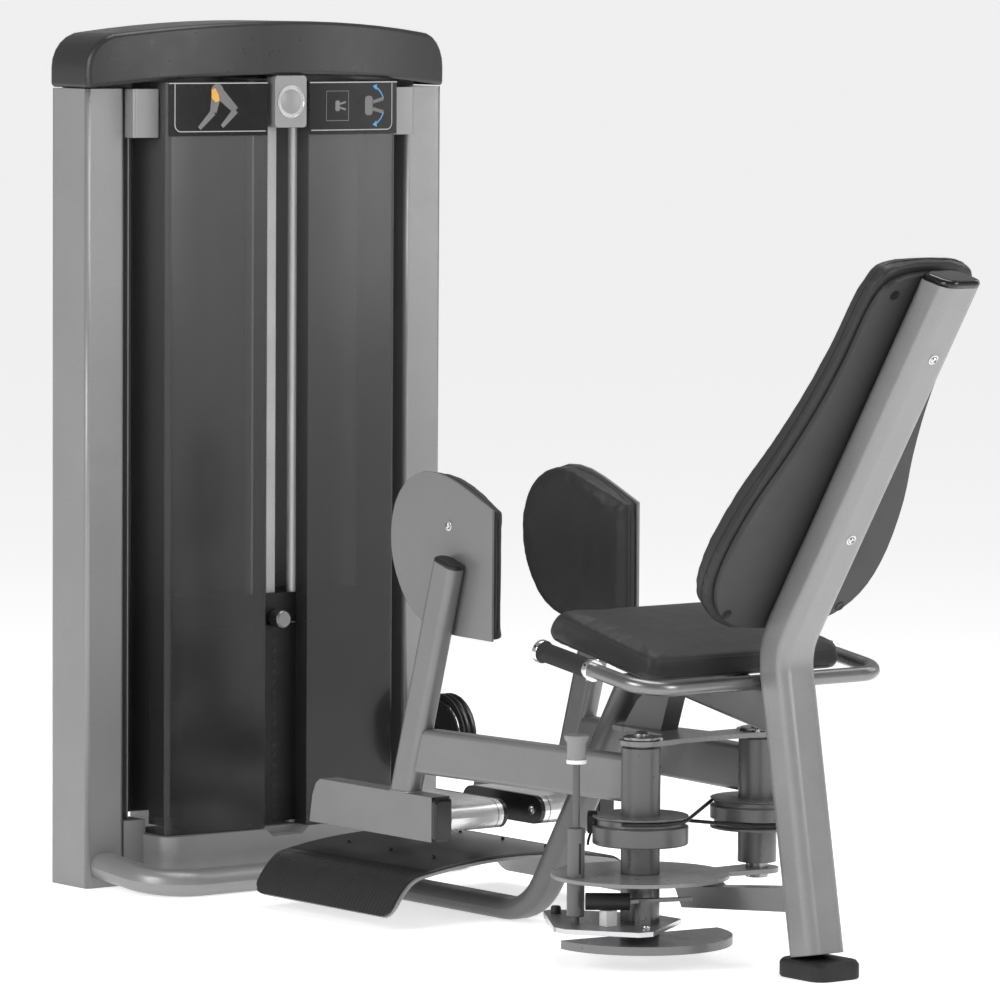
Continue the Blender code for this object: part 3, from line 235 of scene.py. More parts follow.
def surface(name, tone, roughness, metallic=0.0, mottle=0.04, speck=0.03, speck_scale=900,
            spread=0.04, reliefs=(), zones=(), sockets=()):
    """A procedural finish.

    A relief is (kind, scale, stretch, depth), and a zone is (mask, tone, roughness, metallic).
    """
    material = bpy.data.materials.new(name)
    material.use_nodes = True
    tree = material.node_tree
    shader = tree.nodes["Principled BSDF"]
    place = shade(tree, "ShaderNodeTexCoord").outputs["Object"]
    broad = between(tree, speckle(tree, place, 6.0), 1 - mottle, 1 + mottle)
    fine = between(tree, speckle(tree, place, speck_scale, 1.0), 1 - speck, 1 + speck)
    level = figure(tree, "MULTIPLY", broad, fine)
    colour = (*tone, 1.0)
    rough = between(tree, speckle(tree, place, 30.0), roughness - spread, roughness + spread)
    metal = metallic
    for mask, other, other_roughness, other_metallic in zones:
        inside = mask(tree, place)
        colour = pick(tree, inside, colour, (*other, 1.0))
        rough = lerp(tree, inside, rough, other_roughness)
        if other_metallic != metallic:
            metal = lerp(tree, inside, metal, other_metallic)
    scaled = shade(tree, "ShaderNodeVectorMath", operation="SCALE")
    if isinstance(colour, bpy.types.NodeSocket):
        feed(tree, colour, scaled.inputs[0])
    else:
        scaled.inputs[0].default_value = tone
    feed(tree, level, scaled.inputs["Scale"])
    feed(tree, scaled.outputs[0], shader.inputs["Base Color"])
    feed(tree, rough, shader.inputs["Roughness"])
    feed(tree, metal, shader.inputs["Metallic"])
    normal = None
    for kind, scale, stretch, depth in reliefs:
        raised = shade(tree, "ShaderNodeBump")
        raised.inputs["Distance"].default_value = depth
        raised.inputs["Strength"].default_value = 1.0
        feed(tree, relief(tree, place, kind, scale, stretch), raised.inputs["Height"])
        if normal:
            feed(tree, normal, raised.inputs["Normal"])
        normal = raised.outputs[0]
    if normal:
        feed(tree, normal, shader.inputs["Normal"])
    for socket, value in sockets:
        shader.inputs[socket].default_value = value
    return material


def grey(value):
    return (value, value, value * 1.015)


EVEN = (1, 1, 1)
PAINT_TONE = (0.270, 0.270, 0.268)
# The arm tone is the silver paint made darker: painted shade, used on the arms, pad plates, uprights
# and foot tubes.
SHADED_ARM_TONE = (0.208, 0.208, 0.206)
CHROME_TONE = (0.82, 0.82, 0.83)
POWDER = (("noise", 900, EVEN, 0.00006),)
BLACK_TONE = grey(0.012)


def paint(name, tone=PAINT_TONE, zones=(), roughness=0.36):
    return surface(name, tone, roughness, 0.35, 0.035, 0.07, 700, 0.05, POWDER, zones)


def semi_gloss(name, tone):
    return surface(
        name, tone, 0.30, 0.15, 0.03, 0.015, 350, 0.03, [("noise", 320, EVEN, 0.00002)]
    )


BLACK_CAP = (BLACK_TONE, 0.30, 0.0)
FINISHES = {
    "paint": paint("satin_silver_paint"),
    # The pivot tubes, cable wheels, index disc and bearing plates take semi-gloss greys darker than the
    # silver paint: painted shade.
    "shaded_mechanism": semi_gloss("semi_gloss_shaded_grey_paint", grey(0.128)),
    "disc": semi_gloss("semi_gloss_shaded_light_grey_paint", grey(0.225)),
    "shaded_arm_paint": paint("shaded_arm_paint", SHADED_ARM_TONE),
    # The spine and seat rail take the silver paint at about half its tone: painted shade.
    "shaded_spine_paint": paint("shaded_spine_paint", grey(0.130)),
    "upright": paint(
        "upright_shaded_paint", SHADED_ARM_TONE,
        zones=[(zone(travel(UPRIGHT_TOP, UPRIGHT_UP), 0.0002, 1.0), *BLACK_CAP)],
    ),
    "foot_tube": paint(
        "foot_tube_shaded_paint", SHADED_ARM_TONE,
        zones=[(zone(travel((FOOT_TUBE_END, 0, 0), X_AXIS), 0.0, 1.0), BLACK_TONE, 0.16, 0.0)],
    ),
    "cap": surface(
        "graphite_plastic", grey(0.025), 0.30, 0.0, 0.05, 0.04, 600, 0.04,
        [("cells", 650, EVEN, 0.00004)], sockets=[("Specular IOR Level", 0.40)],
    ),
    "end_cap": surface(
        "gloss_black_plastic", grey(0.008), 0.12, 0.0, 0.04, 0.03, 500, 0.03,
        [("noise", 200, EVEN, 0.00002)],
    ),
    "panel": surface(
        "smoked_acrylic", grey(0.026), 0.20, 0.0, 0.04, 0.02, 300, 0.04,
        [("noise", 8, EVEN, 0.0012)], sockets=[("Alpha", 0.66)],
        # Painted light: the panel's tone grows lighter towards its top, for the light seen in its upper
        # part.
        zones=[(fading(travel((0, 0, 0), Z_AXIS), 0.35, 1.35), grey(0.082), 0.24, 0.0)],
    ),
    "rubber": surface(
        "black_rubber", grey(0.018), 0.50, 0.0, 0.08, 0.08, 500, 0.06, [("noise", 700, EVEN, 0.00010)],
        sockets=[("Specular IOR Level", 0.35)],
    ),
    "foam": surface(
        "grip_foam", grey(0.022), 0.62, 0.0, 0.06, 0.12, 600, 0.06, [("cells", 420, EVEN, 0.0004)],
        sockets=[("Specular IOR Level", 0.30)],
    ),
    "board": surface(
        "black_board", grey(0.040), 0.46, 0.0, 0.05, 0.05, 500, 0.05, [("cells", 500, EVEN, 0.00006)],
        sockets=[("Specular IOR Level", 0.35)],
    ),
    "leather": surface(
        "charcoal_leatherette", grey(0.021), 0.46, 0.0, 0.07, 0.06, 350, 0.05,
        [("cells", 430, EVEN, 0.00010), ("noise", 40, EVEN, 0.0003)],
        sockets=[("Specular IOR Level", 0.38), ("Sheen Weight", 0.04), ("Sheen Roughness", 0.5)],
    ),
    "chrome": surface(
        "chrome", CHROME_TONE, 0.12, 1.0, 0.02, 0.01, 400, 0.03, [("noise", 60, EVEN, 0.00008)]
    ),
    "rod": surface(
        "ground_steel_rod", (0.80, 0.80, 0.81), 0.48, 0.6, 0.03, 0.02, 500, 0.04,
        [("noise", 300, (1, 1, 4), 0.00004)],
    ),
    "footrest": surface(
        "footrest_chrome", (0.95, 0.95, 0.96), 0.24, 0.72, 0.03, 0.02, 400, 0.04,
        zones=[
            (zone(travel((0, -FOOTREST_CAP, 0), Y_AXIS), 0.0, 2 * FOOTREST_CAP),
             grey(0.014), 0.28, 0.0),
            (both(zone(travel((0, 0, 0), Y_AXIS), -FOOTREST_GROOVE[1], FOOTREST_GROOVE[1]),
                  outside(zone(travel((0, 0, 0), Y_AXIS), -FOOTREST_GROOVE[0], FOOTREST_GROOVE[0]))),
             grey(0.06), 0.3, 1.0),
        ],
    ),
    "bar": surface(
        "satin_steel_bar", (0.23, 0.23, 0.23), 0.32, 0.85, 0.04, 0.03, 500, 0.05,
        [("noise", 260, EVEN, 0.00005)],
    ),
    "steel": surface(
        "turned_steel", (0.34, 0.34, 0.34), 0.30, 0.9, 0.03, 0.02, 500, 0.04,
        [("noise", 240, (1, 1, 6), 0.00002)],
    ),
    "iron": surface(
        "black_cast_iron", grey(0.010), 0.45, 0.0, 0.12, 0.15, 350, 0.06,
        [("noise", 380, EVEN, 0.0002)], sockets=[("Specular IOR Level", 0.35)],
    ),
    "belt": surface(
        "woven_belt", grey(0.62), 0.55, 0.0, 0.08, 0.15, 800, 0.05, [("bands", 260, EVEN, 0.0003)]
    ),
    "cable": surface(
        "coated_cable", grey(0.018), 0.35, 0.0, 0.05, 0.10, 600, 0.05, [("bands", 300, EVEN, 0.0004)]
    ),
    "idler": surface(
        "idler_pulley", grey(0.016), 0.25, 0.0, 0.06, 0.05, 400, 0.05,
        zones=[(zone(around(IDLER, Y_AXIS), 0.0600, 0.0632), CHROME_TONE, 0.12, 1.0),
               (zone(around(IDLER, Y_AXIS), 0.0, 0.014), grey(0.4), 0.25, 1.0)],
    ),
    "cam": surface(
        "cam_steel", grey(0.185), 0.30, 0.35, 0.03, 0.015, 350, 0.03,
        [("noise", 320, EVEN, 0.00002)],
        zones=[
            (both(zone(travel((0.362, 0, 0), X_AXIS), 0.0, 0.024),
                  both(zone(travel((0, -0.229, 0), Y_AXIS), 0.0, 0.027),
                       zone(travel((0, 0, 0.0685), Z_AXIS), 0.0, 0.030))), grey(0.72), 0.35, 0.0),
            # A bright shiny band round the lever plate's rim: a painted highlight along its edge.
            (both(zone(travel((0, 0, 0.0602), Z_AXIS), 0.0, 0.0074),
                  zone(around((PIVOT.x, -PIVOT.y, 0), Z_AXIS), 0.034, 0.5)), grey(0.55), 0.18, 1.0),
        ],
    ),
    "knob": surface(
        "pull_pin_finish", grey(0.120), 0.30, 0.4, 0.05, 0.04, 500, 0.05,
        zones=[(zone(travel((0, 0, KNOB_FOOT), Z_AXIS), -0.0005, 0.1), grey(0.24), 0.36, 0.0),
               (zone(travel((0, 0, KNOB_FOOT), Z_AXIS), -0.0005, 0.0065), grey(0.85), 0.30, 0.0)],
    ),
    "sleeve": surface(
        "sleeve_plastic", grey(0.135), 0.34, 0.2, 0.05, 0.04, 500, 0.05, POWDER,
        zones=[(both(both(zone(travel((0, 0, 0.150), Z_AXIS), 0.0, 0.050),
                          zone(travel(PIN, Vector((0.79, -0.61, 0))), 0.0, 0.05)),
                     zone(travel(PIN, Vector((0.61, 0.79, 0))), 0.0045, 0.0085)),
                BLACK_TONE, 0.5, 0.0)],
    ),
}
FINISH_OF = {
    "paint": "left_post right_post left_bracket right_bracket top_beam rear_cover base_tray base_tube "
             "foot_step rear_post badge_block",
    "shaded_spine_paint": "spine_tube seat_rail",
    "shaded_arm_paint": "left_arm_tube right_arm_tube left_pad_plate right_pad_plate",
    "shaded_mechanism": "left_pivot_tube right_pivot_tube left_cable_wheel right_cable_wheel",
    "disc": "index_disc top_bearing_plate lower_bearing_plate",
    "upright": "left_upright right_upright",
    "foot_tube": "left_foot_tube right_foot_tube",
    "cap": "top_cap",
    "end_cap": "rear_post_cap",
    "panel": "left_front_panel right_front_panel",
    "rubber": "rear_foot bumper",
    "foam": "left_grip right_grip",
    "board": "back_board",
    "rod": "left_guide_rod right_guide_rod",
    "footrest": "left_footrest right_footrest",
    "bar": "handlebar selector_pin",
    "steel": "left_pivot_shaft right_pivot_shaft",
    "iron": "weight_plates weight_head_plate idler_bracket",
    "belt": "lift_belt",
    "cable": "upper_cross_cable lower_cross_cable",
    "idler": "idler_pulley",
    "cam": "drive_cam",
    "knob": "pull_pin",
    "sleeve": "pin_sleeve",
}
EDGE_WIDTHS = {
    "left_post": 0.0, "right_post": 0.0, "top_cap": 0.0, "top_beam": 0.0, "rear_post_cap": 0.0,
    "lift_belt": 0.0, "upper_cross_cable": 0.0, "lower_cross_cable": 0.0, "weight_plates": 0.0006,
    "rear_cover": 0.0008, "foot_step": 0.0008, "left_front_panel": 0.001, "right_front_panel": 0.001,
}


def ease_edges(name, width):
    """Joins a CAD part's facets into faces and rounds its sharp edges to catch the light."""
    part = NODES[name]
    part.data.shade_smooth()
    if "custom_normal" in part.data.attributes:
        part.data.attributes.remove(part.data.attributes["custom_normal"])
    weld = part.modifiers.new("weld", "WELD")
    weld.merge_threshold = 0.00001
    flatten = part.modifiers.new("flatten", "DECIMATE")
    flatten.decimate_type = "DISSOLVE"
    flatten.angle_limit = radians(0.2)
    if width:
        ease = part.modifiers.new("ease", "BEVEL")
        ease.width = width
        ease.segments = 2
        ease.limit_method = "ANGLE"
        ease.angle_limit = radians(38)
    normals = part.modifiers.new("normals", "WEIGHTED_NORMAL")
    normals.keep_sharp = False
    normals.weight = 80


def finish_cad_parts():
    for finish, names in FINISH_OF.items():
        for name in names.split():
            NODES[name].material_slots[0].material = FINISHES[finish]
            ease_edges(name, EDGE_WIDTHS.get(name, 0.0012))


# ---- making meshes --------------------------------------------------------------------------
def piece(name, built, finish, body, smooth=True):
    """Turns a bmesh into a piece that rides on a CAD body."""
    bmesh.ops.recalc_face_normals(built, faces=built.faces)
    mesh = bpy.data.meshes.new(name)
    built.to_mesh(mesh)
    built.free()
    if smooth:
        mesh.shade_smooth()
        mesh.set_sharp_from_angle(angle=radians(38))
    made = bpy.data.objects.new(name, mesh)
    bpy.context.collection.objects.link(made)
    mesh.materials.append(finish)
    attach(made, body)
    return made


def skin(built, rings, caps=True):
    """Adds faces between closed rings of equally many points."""
    loops = [[built.verts.new(point) for point in ring] for ring in rings]
    count = len(loops[0])
    for near, far in zip(loops, loops[1:]):
        for index in range(count):
            following = (index + 1) % count
            built.faces.new((near[index], near[following], far[following], far[index]))
    if caps:
        built.faces.new(loops[0][::-1])
        built.faces.new(loops[-1])
    return built


def hexed(angle):
    """How far a hexagon's side lies from its centre, over its corner's distance."""
    return cos(pi / 6) / cos(angle % (pi / 3) - pi / 6)


def lathe(built, profile, centre, axis, segments=24):
    """Turns (radius, height) about an axis. A negative radius makes a hexagonal ring."""
    axis = Vector(axis).normalized()
    first = axis.orthogonal().normalized()
    second = axis.cross(first)
    rings = []
    for radius, height in profile:
        ring = []
        for step in range(segments):
            angle = 2 * pi * step / segments
            reach = -radius * hexed(angle) if radius < 0 else max(radius, 0.00005)
            ring.append(centre + axis * height + (first * cos(angle) + second * sin(angle)) * reach)
        rings.append(ring)
    return skin(built, rings)


def dome_bolt(built, centre, axis, radius):
    """A washer, a domed head and its hexagonal socket."""
    profile = [(radius * 1.45, 0), (radius * 1.45, 0.0010), (radius * 1.02, 0.0014), (radius, 0.0026)]
    profile += [(radius * 0.88, 0.0042), (radius * 0.68, 0.0052), (-radius * 0.52, 0.0054)]
    profile += [(-radius * 0.50, 0.0024), (0, 0.0022)]
    return lathe(built, profile, Vector(centre), axis)


def hex_bolt(built, centre, axis, radius, height=0.006):
    """A washer under a hexagonal head."""
    profile = [(radius * 1.35, 0), (radius * 1.35, 0.0014), (-radius * 1.02, 0.0015)]
    profile += [(-radius * 1.05, 0.0022), (-radius * 1.05, height - 0.0012)]
    profile += [(radius * 0.86, height), (0, height)]
    return lathe(built, profile, Vector(centre), axis)


BEAD_SIDES = 8


def tube(built, path, radius, closed=False, up=Z_AXIS):
    """A round bead along a path."""
    turns = [2 * pi * step / BEAD_SIDES for step in range(BEAD_SIDES)]
    rings = []
    for index, place in enumerate(path):
        before = path[index - 1] if closed or index else place
        after = path[(index + 1) % len(path)] if closed or index < len(path) - 1 else place
        ahead = (Vector(after) - Vector(before)).normalized()
        across = ahead.cross(up).normalized()
        over = across.cross(ahead)
        rings.append([
            Vector(place) + across * radius * cos(turn) + over * radius * sin(turn) for turn in turns
        ])
    if closed:
        rings.append(rings[0])
    skin(built, rings, caps=not closed)
    if closed:
        bmesh.ops.remove_doubles(built, verts=built.verts, dist=0.000001)
    return built


def rounded_rect(width, height, corner, steps=5):
    points = []
    for quarter, (sx, sy) in enumerate(((1, 1), (-1, 1), (-1, -1), (1, -1))):
        for step in range(steps + 1):
            angle = (quarter + step / steps) * pi / 2
            points.append((
                sx * (width / 2 - corner) + corner * cos(angle),
                sy * (height / 2 - corner) + corner * sin(angle),
            ))
    return points


# ---- pads -----------------------------------------------------------------------------------
CLOTH_FRAMES = 20
CLOTH_PRESSURE = 4.0
SEAT_SEAM_RISE, SEAT_BASE_SEAM_RISE = -0.0095, -0.0370
BACK_SEAM_DEPTH = 0.0310
KNEE_SEAM_DEPTH = 0.0110
SEAM_PROUD = 0.0002


def pad_start(node, rest, shrink):
    """The CAD pad's skin, drawn in a little except where it rests on its board."""
    built = bmesh.new()
    built.from_mesh(NODES[node].data)
    bmesh.ops.remove_doubles(built, verts=built.verts, dist=0.00001)
    bmesh.ops.recalc_face_normals(built, faces=built.faces)
    built.normal_update()
    moves = []
    for vert in built.verts:
        push = vert.normal.copy()
        push -= rest * max(0.0, push.dot(rest))
        moves.append(-push * shrink)
    for vert, move in zip(built.verts, moves):
        vert.co += move
    mesh = bpy.data.meshes.new(f"{node}_start")
    built.to_mesh(mesh)
    built.free()
    return mesh


def evaluated_mesh(thing):
    graph = bpy.context.evaluated_depsgraph_get()
    return bpy.data.meshes.new_from_object(thing.evaluated_get(graph))


def inflate(thing, rest, cap):
    """Swells the skin as cloth under pressure, its resting side held, and caps each point's move."""
    held = thing.vertex_groups.new(name="held")
    held.add([v.index for v in thing.data.vertices if v.normal.dot(rest) > 0.75], 1.0, "REPLACE")
    start = [v.co.copy() for v in thing.data.vertices]
    cloth = thing.modifiers.new("cloth", "CLOTH")
    settings = cloth.settings
    settings.quality = 4
    settings.mass = 0.25
    settings.tension_stiffness = 12
    settings.compression_stiffness = 12
    settings.shear_stiffness = 5
    settings.bending_stiffness = 1.2
    settings.use_pressure = True
    settings.uniform_pressure_force = CLOTH_PRESSURE
    settings.effector_weights.gravity = 0.0
    settings.vertex_group_mass = "held"
    cloth.collision_settings.use_collision = False
    cloth.point_cache.frame_end = CLOTH_FRAMES
    scene = bpy.context.scene
    for step in range(1, CLOTH_FRAMES + 1):
        scene.frame_set(step)
    swollen = evaluated_mesh(thing)
    for vert, was in zip(swollen.vertices, start):
        move = vert.co - was
        if move.length > cap:
            vert.co = was + move * (cap / move.length)
    thing.modifiers.remove(cloth)
    thing.data = swollen
    scene.frame_set(1)


def cushion(name, node, rest, body, shrink, cap, voxel=0.005, wrinkle=None):
    """A padded piece grown from the CAD pad that it stands for."""
    rest = Vector(rest).normalized()
    thing = bpy.data.objects.new(name, pad_start(node, rest, shrink))
    bpy.context.collection.objects.link(thing)
    remesh = thing.modifiers.new("remesh", "REMESH")
    remesh.mode = "VOXEL"
    remesh.voxel_size = voxel
    thing.data = evaluated_mesh(thing)
    thing.modifiers.remove(remesh)
    inflate(thing, rest, cap)
    built = bmesh.new()
    built.from_mesh(thing.data)
    bmesh.ops.smooth_vert(
        built, verts=built.verts, factor=0.5, use_axis_x=True, use_axis_y=True, use_axis_z=True
    )
    built.normal_update()
    if wrinkle:
        for vert in built.verts:
            vert.co += vert.normal * wrinkle(vert.co)
    built.to_mesh(thing.data)
    built.free()
    thing.data.shade_smooth()
    thing.data.materials.clear()
    thing.data.materials.append(FINISHES["leather"])
    finer = thing.modifiers.new("finer", "SUBSURF")
    finer.levels = finer.render_levels = 1
    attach(thing, body)
    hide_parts(node)
    return thing


def girdle(thing, place, normal, spacing=0.006):
    """The closed line where a plane cuts a piece, evenly spaced."""
    built = bmesh.new()
    built.from_mesh(thing.data)
    cut = bmesh.ops.bisect_plane(
        built, geom=built.verts[:] + built.edges[:] + built.faces[:], plane_co=place, plane_no=normal
    )["geom_cut"]
    edges = [part for part in cut if isinstance(part, bmesh.types.BMEdge)]
    links = {}
    for edge in edges:
        for vert, other in (edge.verts, reversed(edge.verts)):
            links.setdefault(vert, []).append(other)
    longest = []
    unseen = set(links)
    while unseen:
        here = min(unseen, key=lambda vert: tuple(vert.co))
        line = []
        while here:
            line.append(here)
            unseen.discard(here)
            here = next((other for other in links[here] if other in unseen), None)
        if len(line) > len(longest):
            longest = line
    points = [vert.co.copy() for vert in longest]
    built.free()
    kept, run = [points[0]], 0.0
    for before, after in zip(points, points[1:]):
        run += (after - before).length
        if run >= spacing:
            kept.append(after)
            run = 0.0
    for _ in range(2):
        kept = [(kept[i - 1] + kept[i] * 2 + kept[(i + 1) % len(kept)]) / 4 for i in range(len(kept))]
    return kept


def seam(name, thing, place, normal, body, radius=0.0011):
    """A sewn line round a cushion, where a plane cuts it."""
    normal = Vector(normal).normalized()
    path = girdle(thing, Vector(place), normal)
    middle = sum(path, Vector()) / len(path)
    moved = []
    for index, point in enumerate(path):
        ahead = (path[(index + 1) % len(path)] - path[index - 1]).normalized()
        out = ahead.cross(normal)
        if out.dot(point - middle) < 0:
            out = -out
        moved.append(point + out * SEAM_PROUD)
    built = tube(bmesh.new(), moved, radius, True, normal)
    return piece(name, built, FINISHES["seam"], body)


FINISHES["seam"] = surface("seam_thread", grey(0.010), 0.5, 0.0, 0.05, 0.1, 800, 0.04)


def seat_point(rise):
    return SEAT_REAR + SEAT_UP * rise


def back_crease(place):
    """Soft folds where the back rest's cover is drawn round its lower corners."""
    rise = (place - BACK_FOOT).dot(BACK_UP)
    depth = (place - BACK_FOOT).dot(BACK_OUT)
    reach = abs(place.y)
    near = max(0.0, 1 - abs(rise - 0.05) / 0.10) * max(0.0, 1 - abs(reach - 0.145) / 0.05)
    folds = sin(rise * 260 + 2.0 * noise.noise(place * 25))
    return 0.0010 * near * folds * (depth > 0.014)


def pads():
    seat = cushion("seat_cushion", "seat_pad", -SEAT_UP, "base_frame", shrink=0.0016, cap=0.0038)
    seam("seat_seam", seat, seat_point(SEAT_SEAM_RISE), SEAT_TOP_UP, "base_frame")
    seam("seat_base_seam", seat, seat_point(SEAT_BASE_SEAM_RISE), SEAT_UP, "base_frame")

    back = cushion(
        "back_cushion", "back_pad", -BACK_OUT, "base_frame", shrink=0.0018, cap=0.0045, voxel=0.0055,
        wrinkle=back_crease,
    )
    seam("back_seam", back, BACK_FOOT + BACK_OUT * BACK_SEAM_DEPTH, BACK_OUT, "base_frame", 0.0013)

    for side_name, side in SIDES:
        knee = cushion(
            f"{side_name}_knee_cushion", f"{side_name}_knee_pad", (0, side, 0), f"{side_name}_arm",
            shrink=0.0014, cap=0.0030, voxel=0.0045,
        )
        place = (0, side * (PLATE_FACE - PLATE_THICKNESS - KNEE_SEAM_DEPTH), 0)
        seam(f"{side_name}_knee_seam", knee, place, (0, side, 0), f"{side_name}_arm", 0.0009)


# ---- step mat -------------------------------------------------------------------------------
MAT_BACK, MAT_FRONT = -0.528, -0.143
MAT_CREASE_Y, MAT_EDGE_Y = 0.198, 0.268
MAT_MID_Z, MAT_CREASE_Z, MAT_EDGE_Z = 0.108, 0.0905, 0.024
MAT_THICKNESS = 0.0047
MAT_UNDER = 0.0008
STEP_FRONT, STEP_CORNER = -0.138, 0.024
RIB_PITCH = 0.0096
RIB_HEIGHT = 0.0016


def mat_curl():
    """One side's curl in front view (y, z), from the crease down to its edge, as an even line."""
    fall, run = MAT_CREASE_Z - MAT_EDGE_Z, MAT_EDGE_Y - MAT_CREASE_Y
    corners = ((0.0, 0.0), (0.27, 0.06), (0.50, 0.24), (0.72, 0.50), (0.89, 0.77), (1.0, 1.0))
    line = []
    for (near, near_down), (far, far_down) in zip(corners, corners[1:]):
        for step in range(4):
            share = step / 4
            across, down = near + (far - near) * share, near_down + (far_down - near_down) * share
            line.append((MAT_CREASE_Y + run * across, MAT_CREASE_Z - fall * down))
    return line + [(MAT_EDGE_Y, MAT_EDGE_Z)]


def mat_line(x):
    """The step's arch in front view at x. Its curls end sooner at the step's rounded corners."""
    half = []
    for step in range(16):
        reach = step / 16
        half.append((MAT_CREASE_Y * reach, MAT_MID_Z - (MAT_MID_Z - MAT_CREASE_Z) * reach**2))
    curl = mat_curl()
    near_end = max(0.0, STEP_CORNER - min(x - MAT_BACK, STEP_FRONT - x))
    short = STEP_CORNER - (STEP_CORNER**2 - near_end**2) ** 0.5
    share = 1 - short / (MAT_CREASE_Z - MAT_EDGE_Z)
    for index in range(len(curl)):
        low, part = divmod(index * share, 1)
        here, after = curl[int(low)], curl[min(int(low) + 1, len(curl) - 1)]
        half.append(tuple(a + (b - a) * part for a, b in zip(here, after)))
    for _ in range(3):
        half = half[:1] + [
            tuple((a + 2 * b + c) / 4 for a, b, c in zip(*near))
            for near in zip(half, half[1:], half[2:])
        ] + half[-1:]
    return [(-y, z) for y, z in reversed(half[1:])] + half


def line_normals(line):
    normals = []
    for index in range(len(line)):
        before = Vector(line[max(index - 1, 0)])
        after = Vector(line[min(index + 1, len(line) - 1)])
        run = (after - before).normalized()
        normals.append(Vector((-run.y, run.x)))
    return normals


def step_mat():
    columns = []
    count = int((MAT_FRONT - MAT_BACK) / RIB_PITCH)
    pitch = (MAT_FRONT - MAT_BACK) / count
    for index in range(count):
        start = MAT_BACK + index * pitch
        for share, height in ((0.0, 0.0), (0.16, 1.0), (0.50, 1.0), (0.66, 0.0)):
            columns.append((start + share * pitch, height))
    columns.append((MAT_FRONT, 0.0))
    rings = []
    for x, height in columns:
        line = mat_line(x)
        normals = line_normals(line)
        ring = []
        for (y, z), normal in zip(line, normals):
            show = min(1.0, max(0.0, (abs(y) - 0.165) / 0.035))
            lift = MAT_THICKNESS - RIB_HEIGHT * (1 - height) * show
            ring.append(Vector((x, y + normal.x * lift, z + normal.y * lift)))
        for (y, z), normal in zip(reversed(line), reversed(normals)):
            ring.append(Vector((x, y + normal.x * MAT_UNDER, z + normal.y * MAT_UNDER)))
        rings.append(ring)
    mat = piece("ribbed_mat", skin(bmesh.new(), rings), FINISHES["mat"], "base_frame")
    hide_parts("foot_mat")

    built = bmesh.new()
    for x in (-0.455, -0.335, -0.215):
        for y in (-0.12, 0.12):
            z = MAT_MID_Z - (MAT_MID_Z - MAT_CREASE_Z) * (y / MAT_CREASE_Y) ** 2 + MAT_THICKNESS
            dome_bolt(built, (x, y, z - 0.001), Z_AXIS, 0.0030)
    piece("mat_screws", built, FINISHES["black_bolt"], "base_frame")


FINISHES["mat"] = surface(
    "ribbed_rubber", grey(0.022), 0.36, 0.0, 0.08, 0.06, 500, 0.05, [("noise", 600, EVEN, 0.0001)],
    # The top between the curls is lighter: a painted sheen. Its lower roughness is real.
    zones=[(zone(travel((0, 0, 0), Y_AXIS), -0.185, 0.185), grey(0.048), 0.30, 0.0)],
)
FINISHES["black_bolt"] = surface("black_screws", grey(0.008), 0.30, 0.4, 0.05, 0.05, 500, 0.05)
FINISHES["bolt"] = surface(
    "zinc_bolts", (0.62, 0.62, 0.63), 0.20, 1.0, 0.04, 0.04, 700, 0.06, [("noise", 500, EVEN, 0.00005)]
)


# ---- small fittings -------------------------------------------------------------------------
def bolts():
    for side_name, side in SIDES:
        built = dome_bolt(bmesh.new(), (-0.130, side * PLATE_FACE, 0.676), (0, side, 0), 0.0062)
        piece(f"{side_name}_plate_bolt", built, FINISHES["bolt"], f"{side_name}_arm")

        built = bmesh.new()
        for x in (-0.147, -0.313):
            dome_bolt(built, (x, side * 0.036, 0.184), (0, -side, 0), 0.0060)
        piece(f"{side_name}_footrest_bolts", built, FINISHES["bolt"], f"{side_name}_arm")

    down = Vector((-sin(BACK_LEAN), 0, -cos(BACK_LEAN)))
    built = bmesh.new()
    for z in (1.0, 0.705):
        place = POST_REAR_TOP + down * ((POST_REAR_TOP.z - z) / cos(BACK_LEAN))
        dome_bolt(built, place, -BACK_OUT, 0.0062)
    piece("rear_post_bolts", built, FINISHES["bolt"], "base_frame")

    built = bmesh.new()
    for rise, across in ((0.048, 0.118), (0.668, 0.066)):
        for _, side in SIDES:
            place = BACK_FOOT + BACK_UP * rise + Y_AXIS * side * across
            profile = [(0.0085, 0), (0.0085, 0.0006), (0.0062, 0.0008), (0.0050, 0.0004), (0, 0.0003)]
            lathe(built, profile, place, -BACK_OUT)
    piece("board_screws", built, FINISHES["black_bolt"], "base_frame")

    built = bmesh.new()
    for _, side in SIDES:
        for turn in (35, 145):
            angle = radians(turn) * side
            ring_x, ring_y = 0.0285 * cos(angle), 0.0285 * sin(angle)
            place = Vector((PIVOT.x + ring_x, side * PIVOT.y + ring_y, 0.3600))
            place += Vector((0, side * -0.062, 0)) * 0.6
            hex_bolt(built, place, Z_AXIS, 0.0040, 0.0045)
    piece("bearing_plate_bolts", built, FINISHES["bolt"], "base_frame")

    built = bmesh.new()
    for y in (-0.2955, 0.2955):
        for z in (0.20, 0.48, 0.76, 1.04, 1.32):
            dome_bolt(built, (-0.974, y, z), (-1, 0, 0), 0.0042)
    piece("cover_screws", built, FINISHES["black_bolt"], "base_frame")


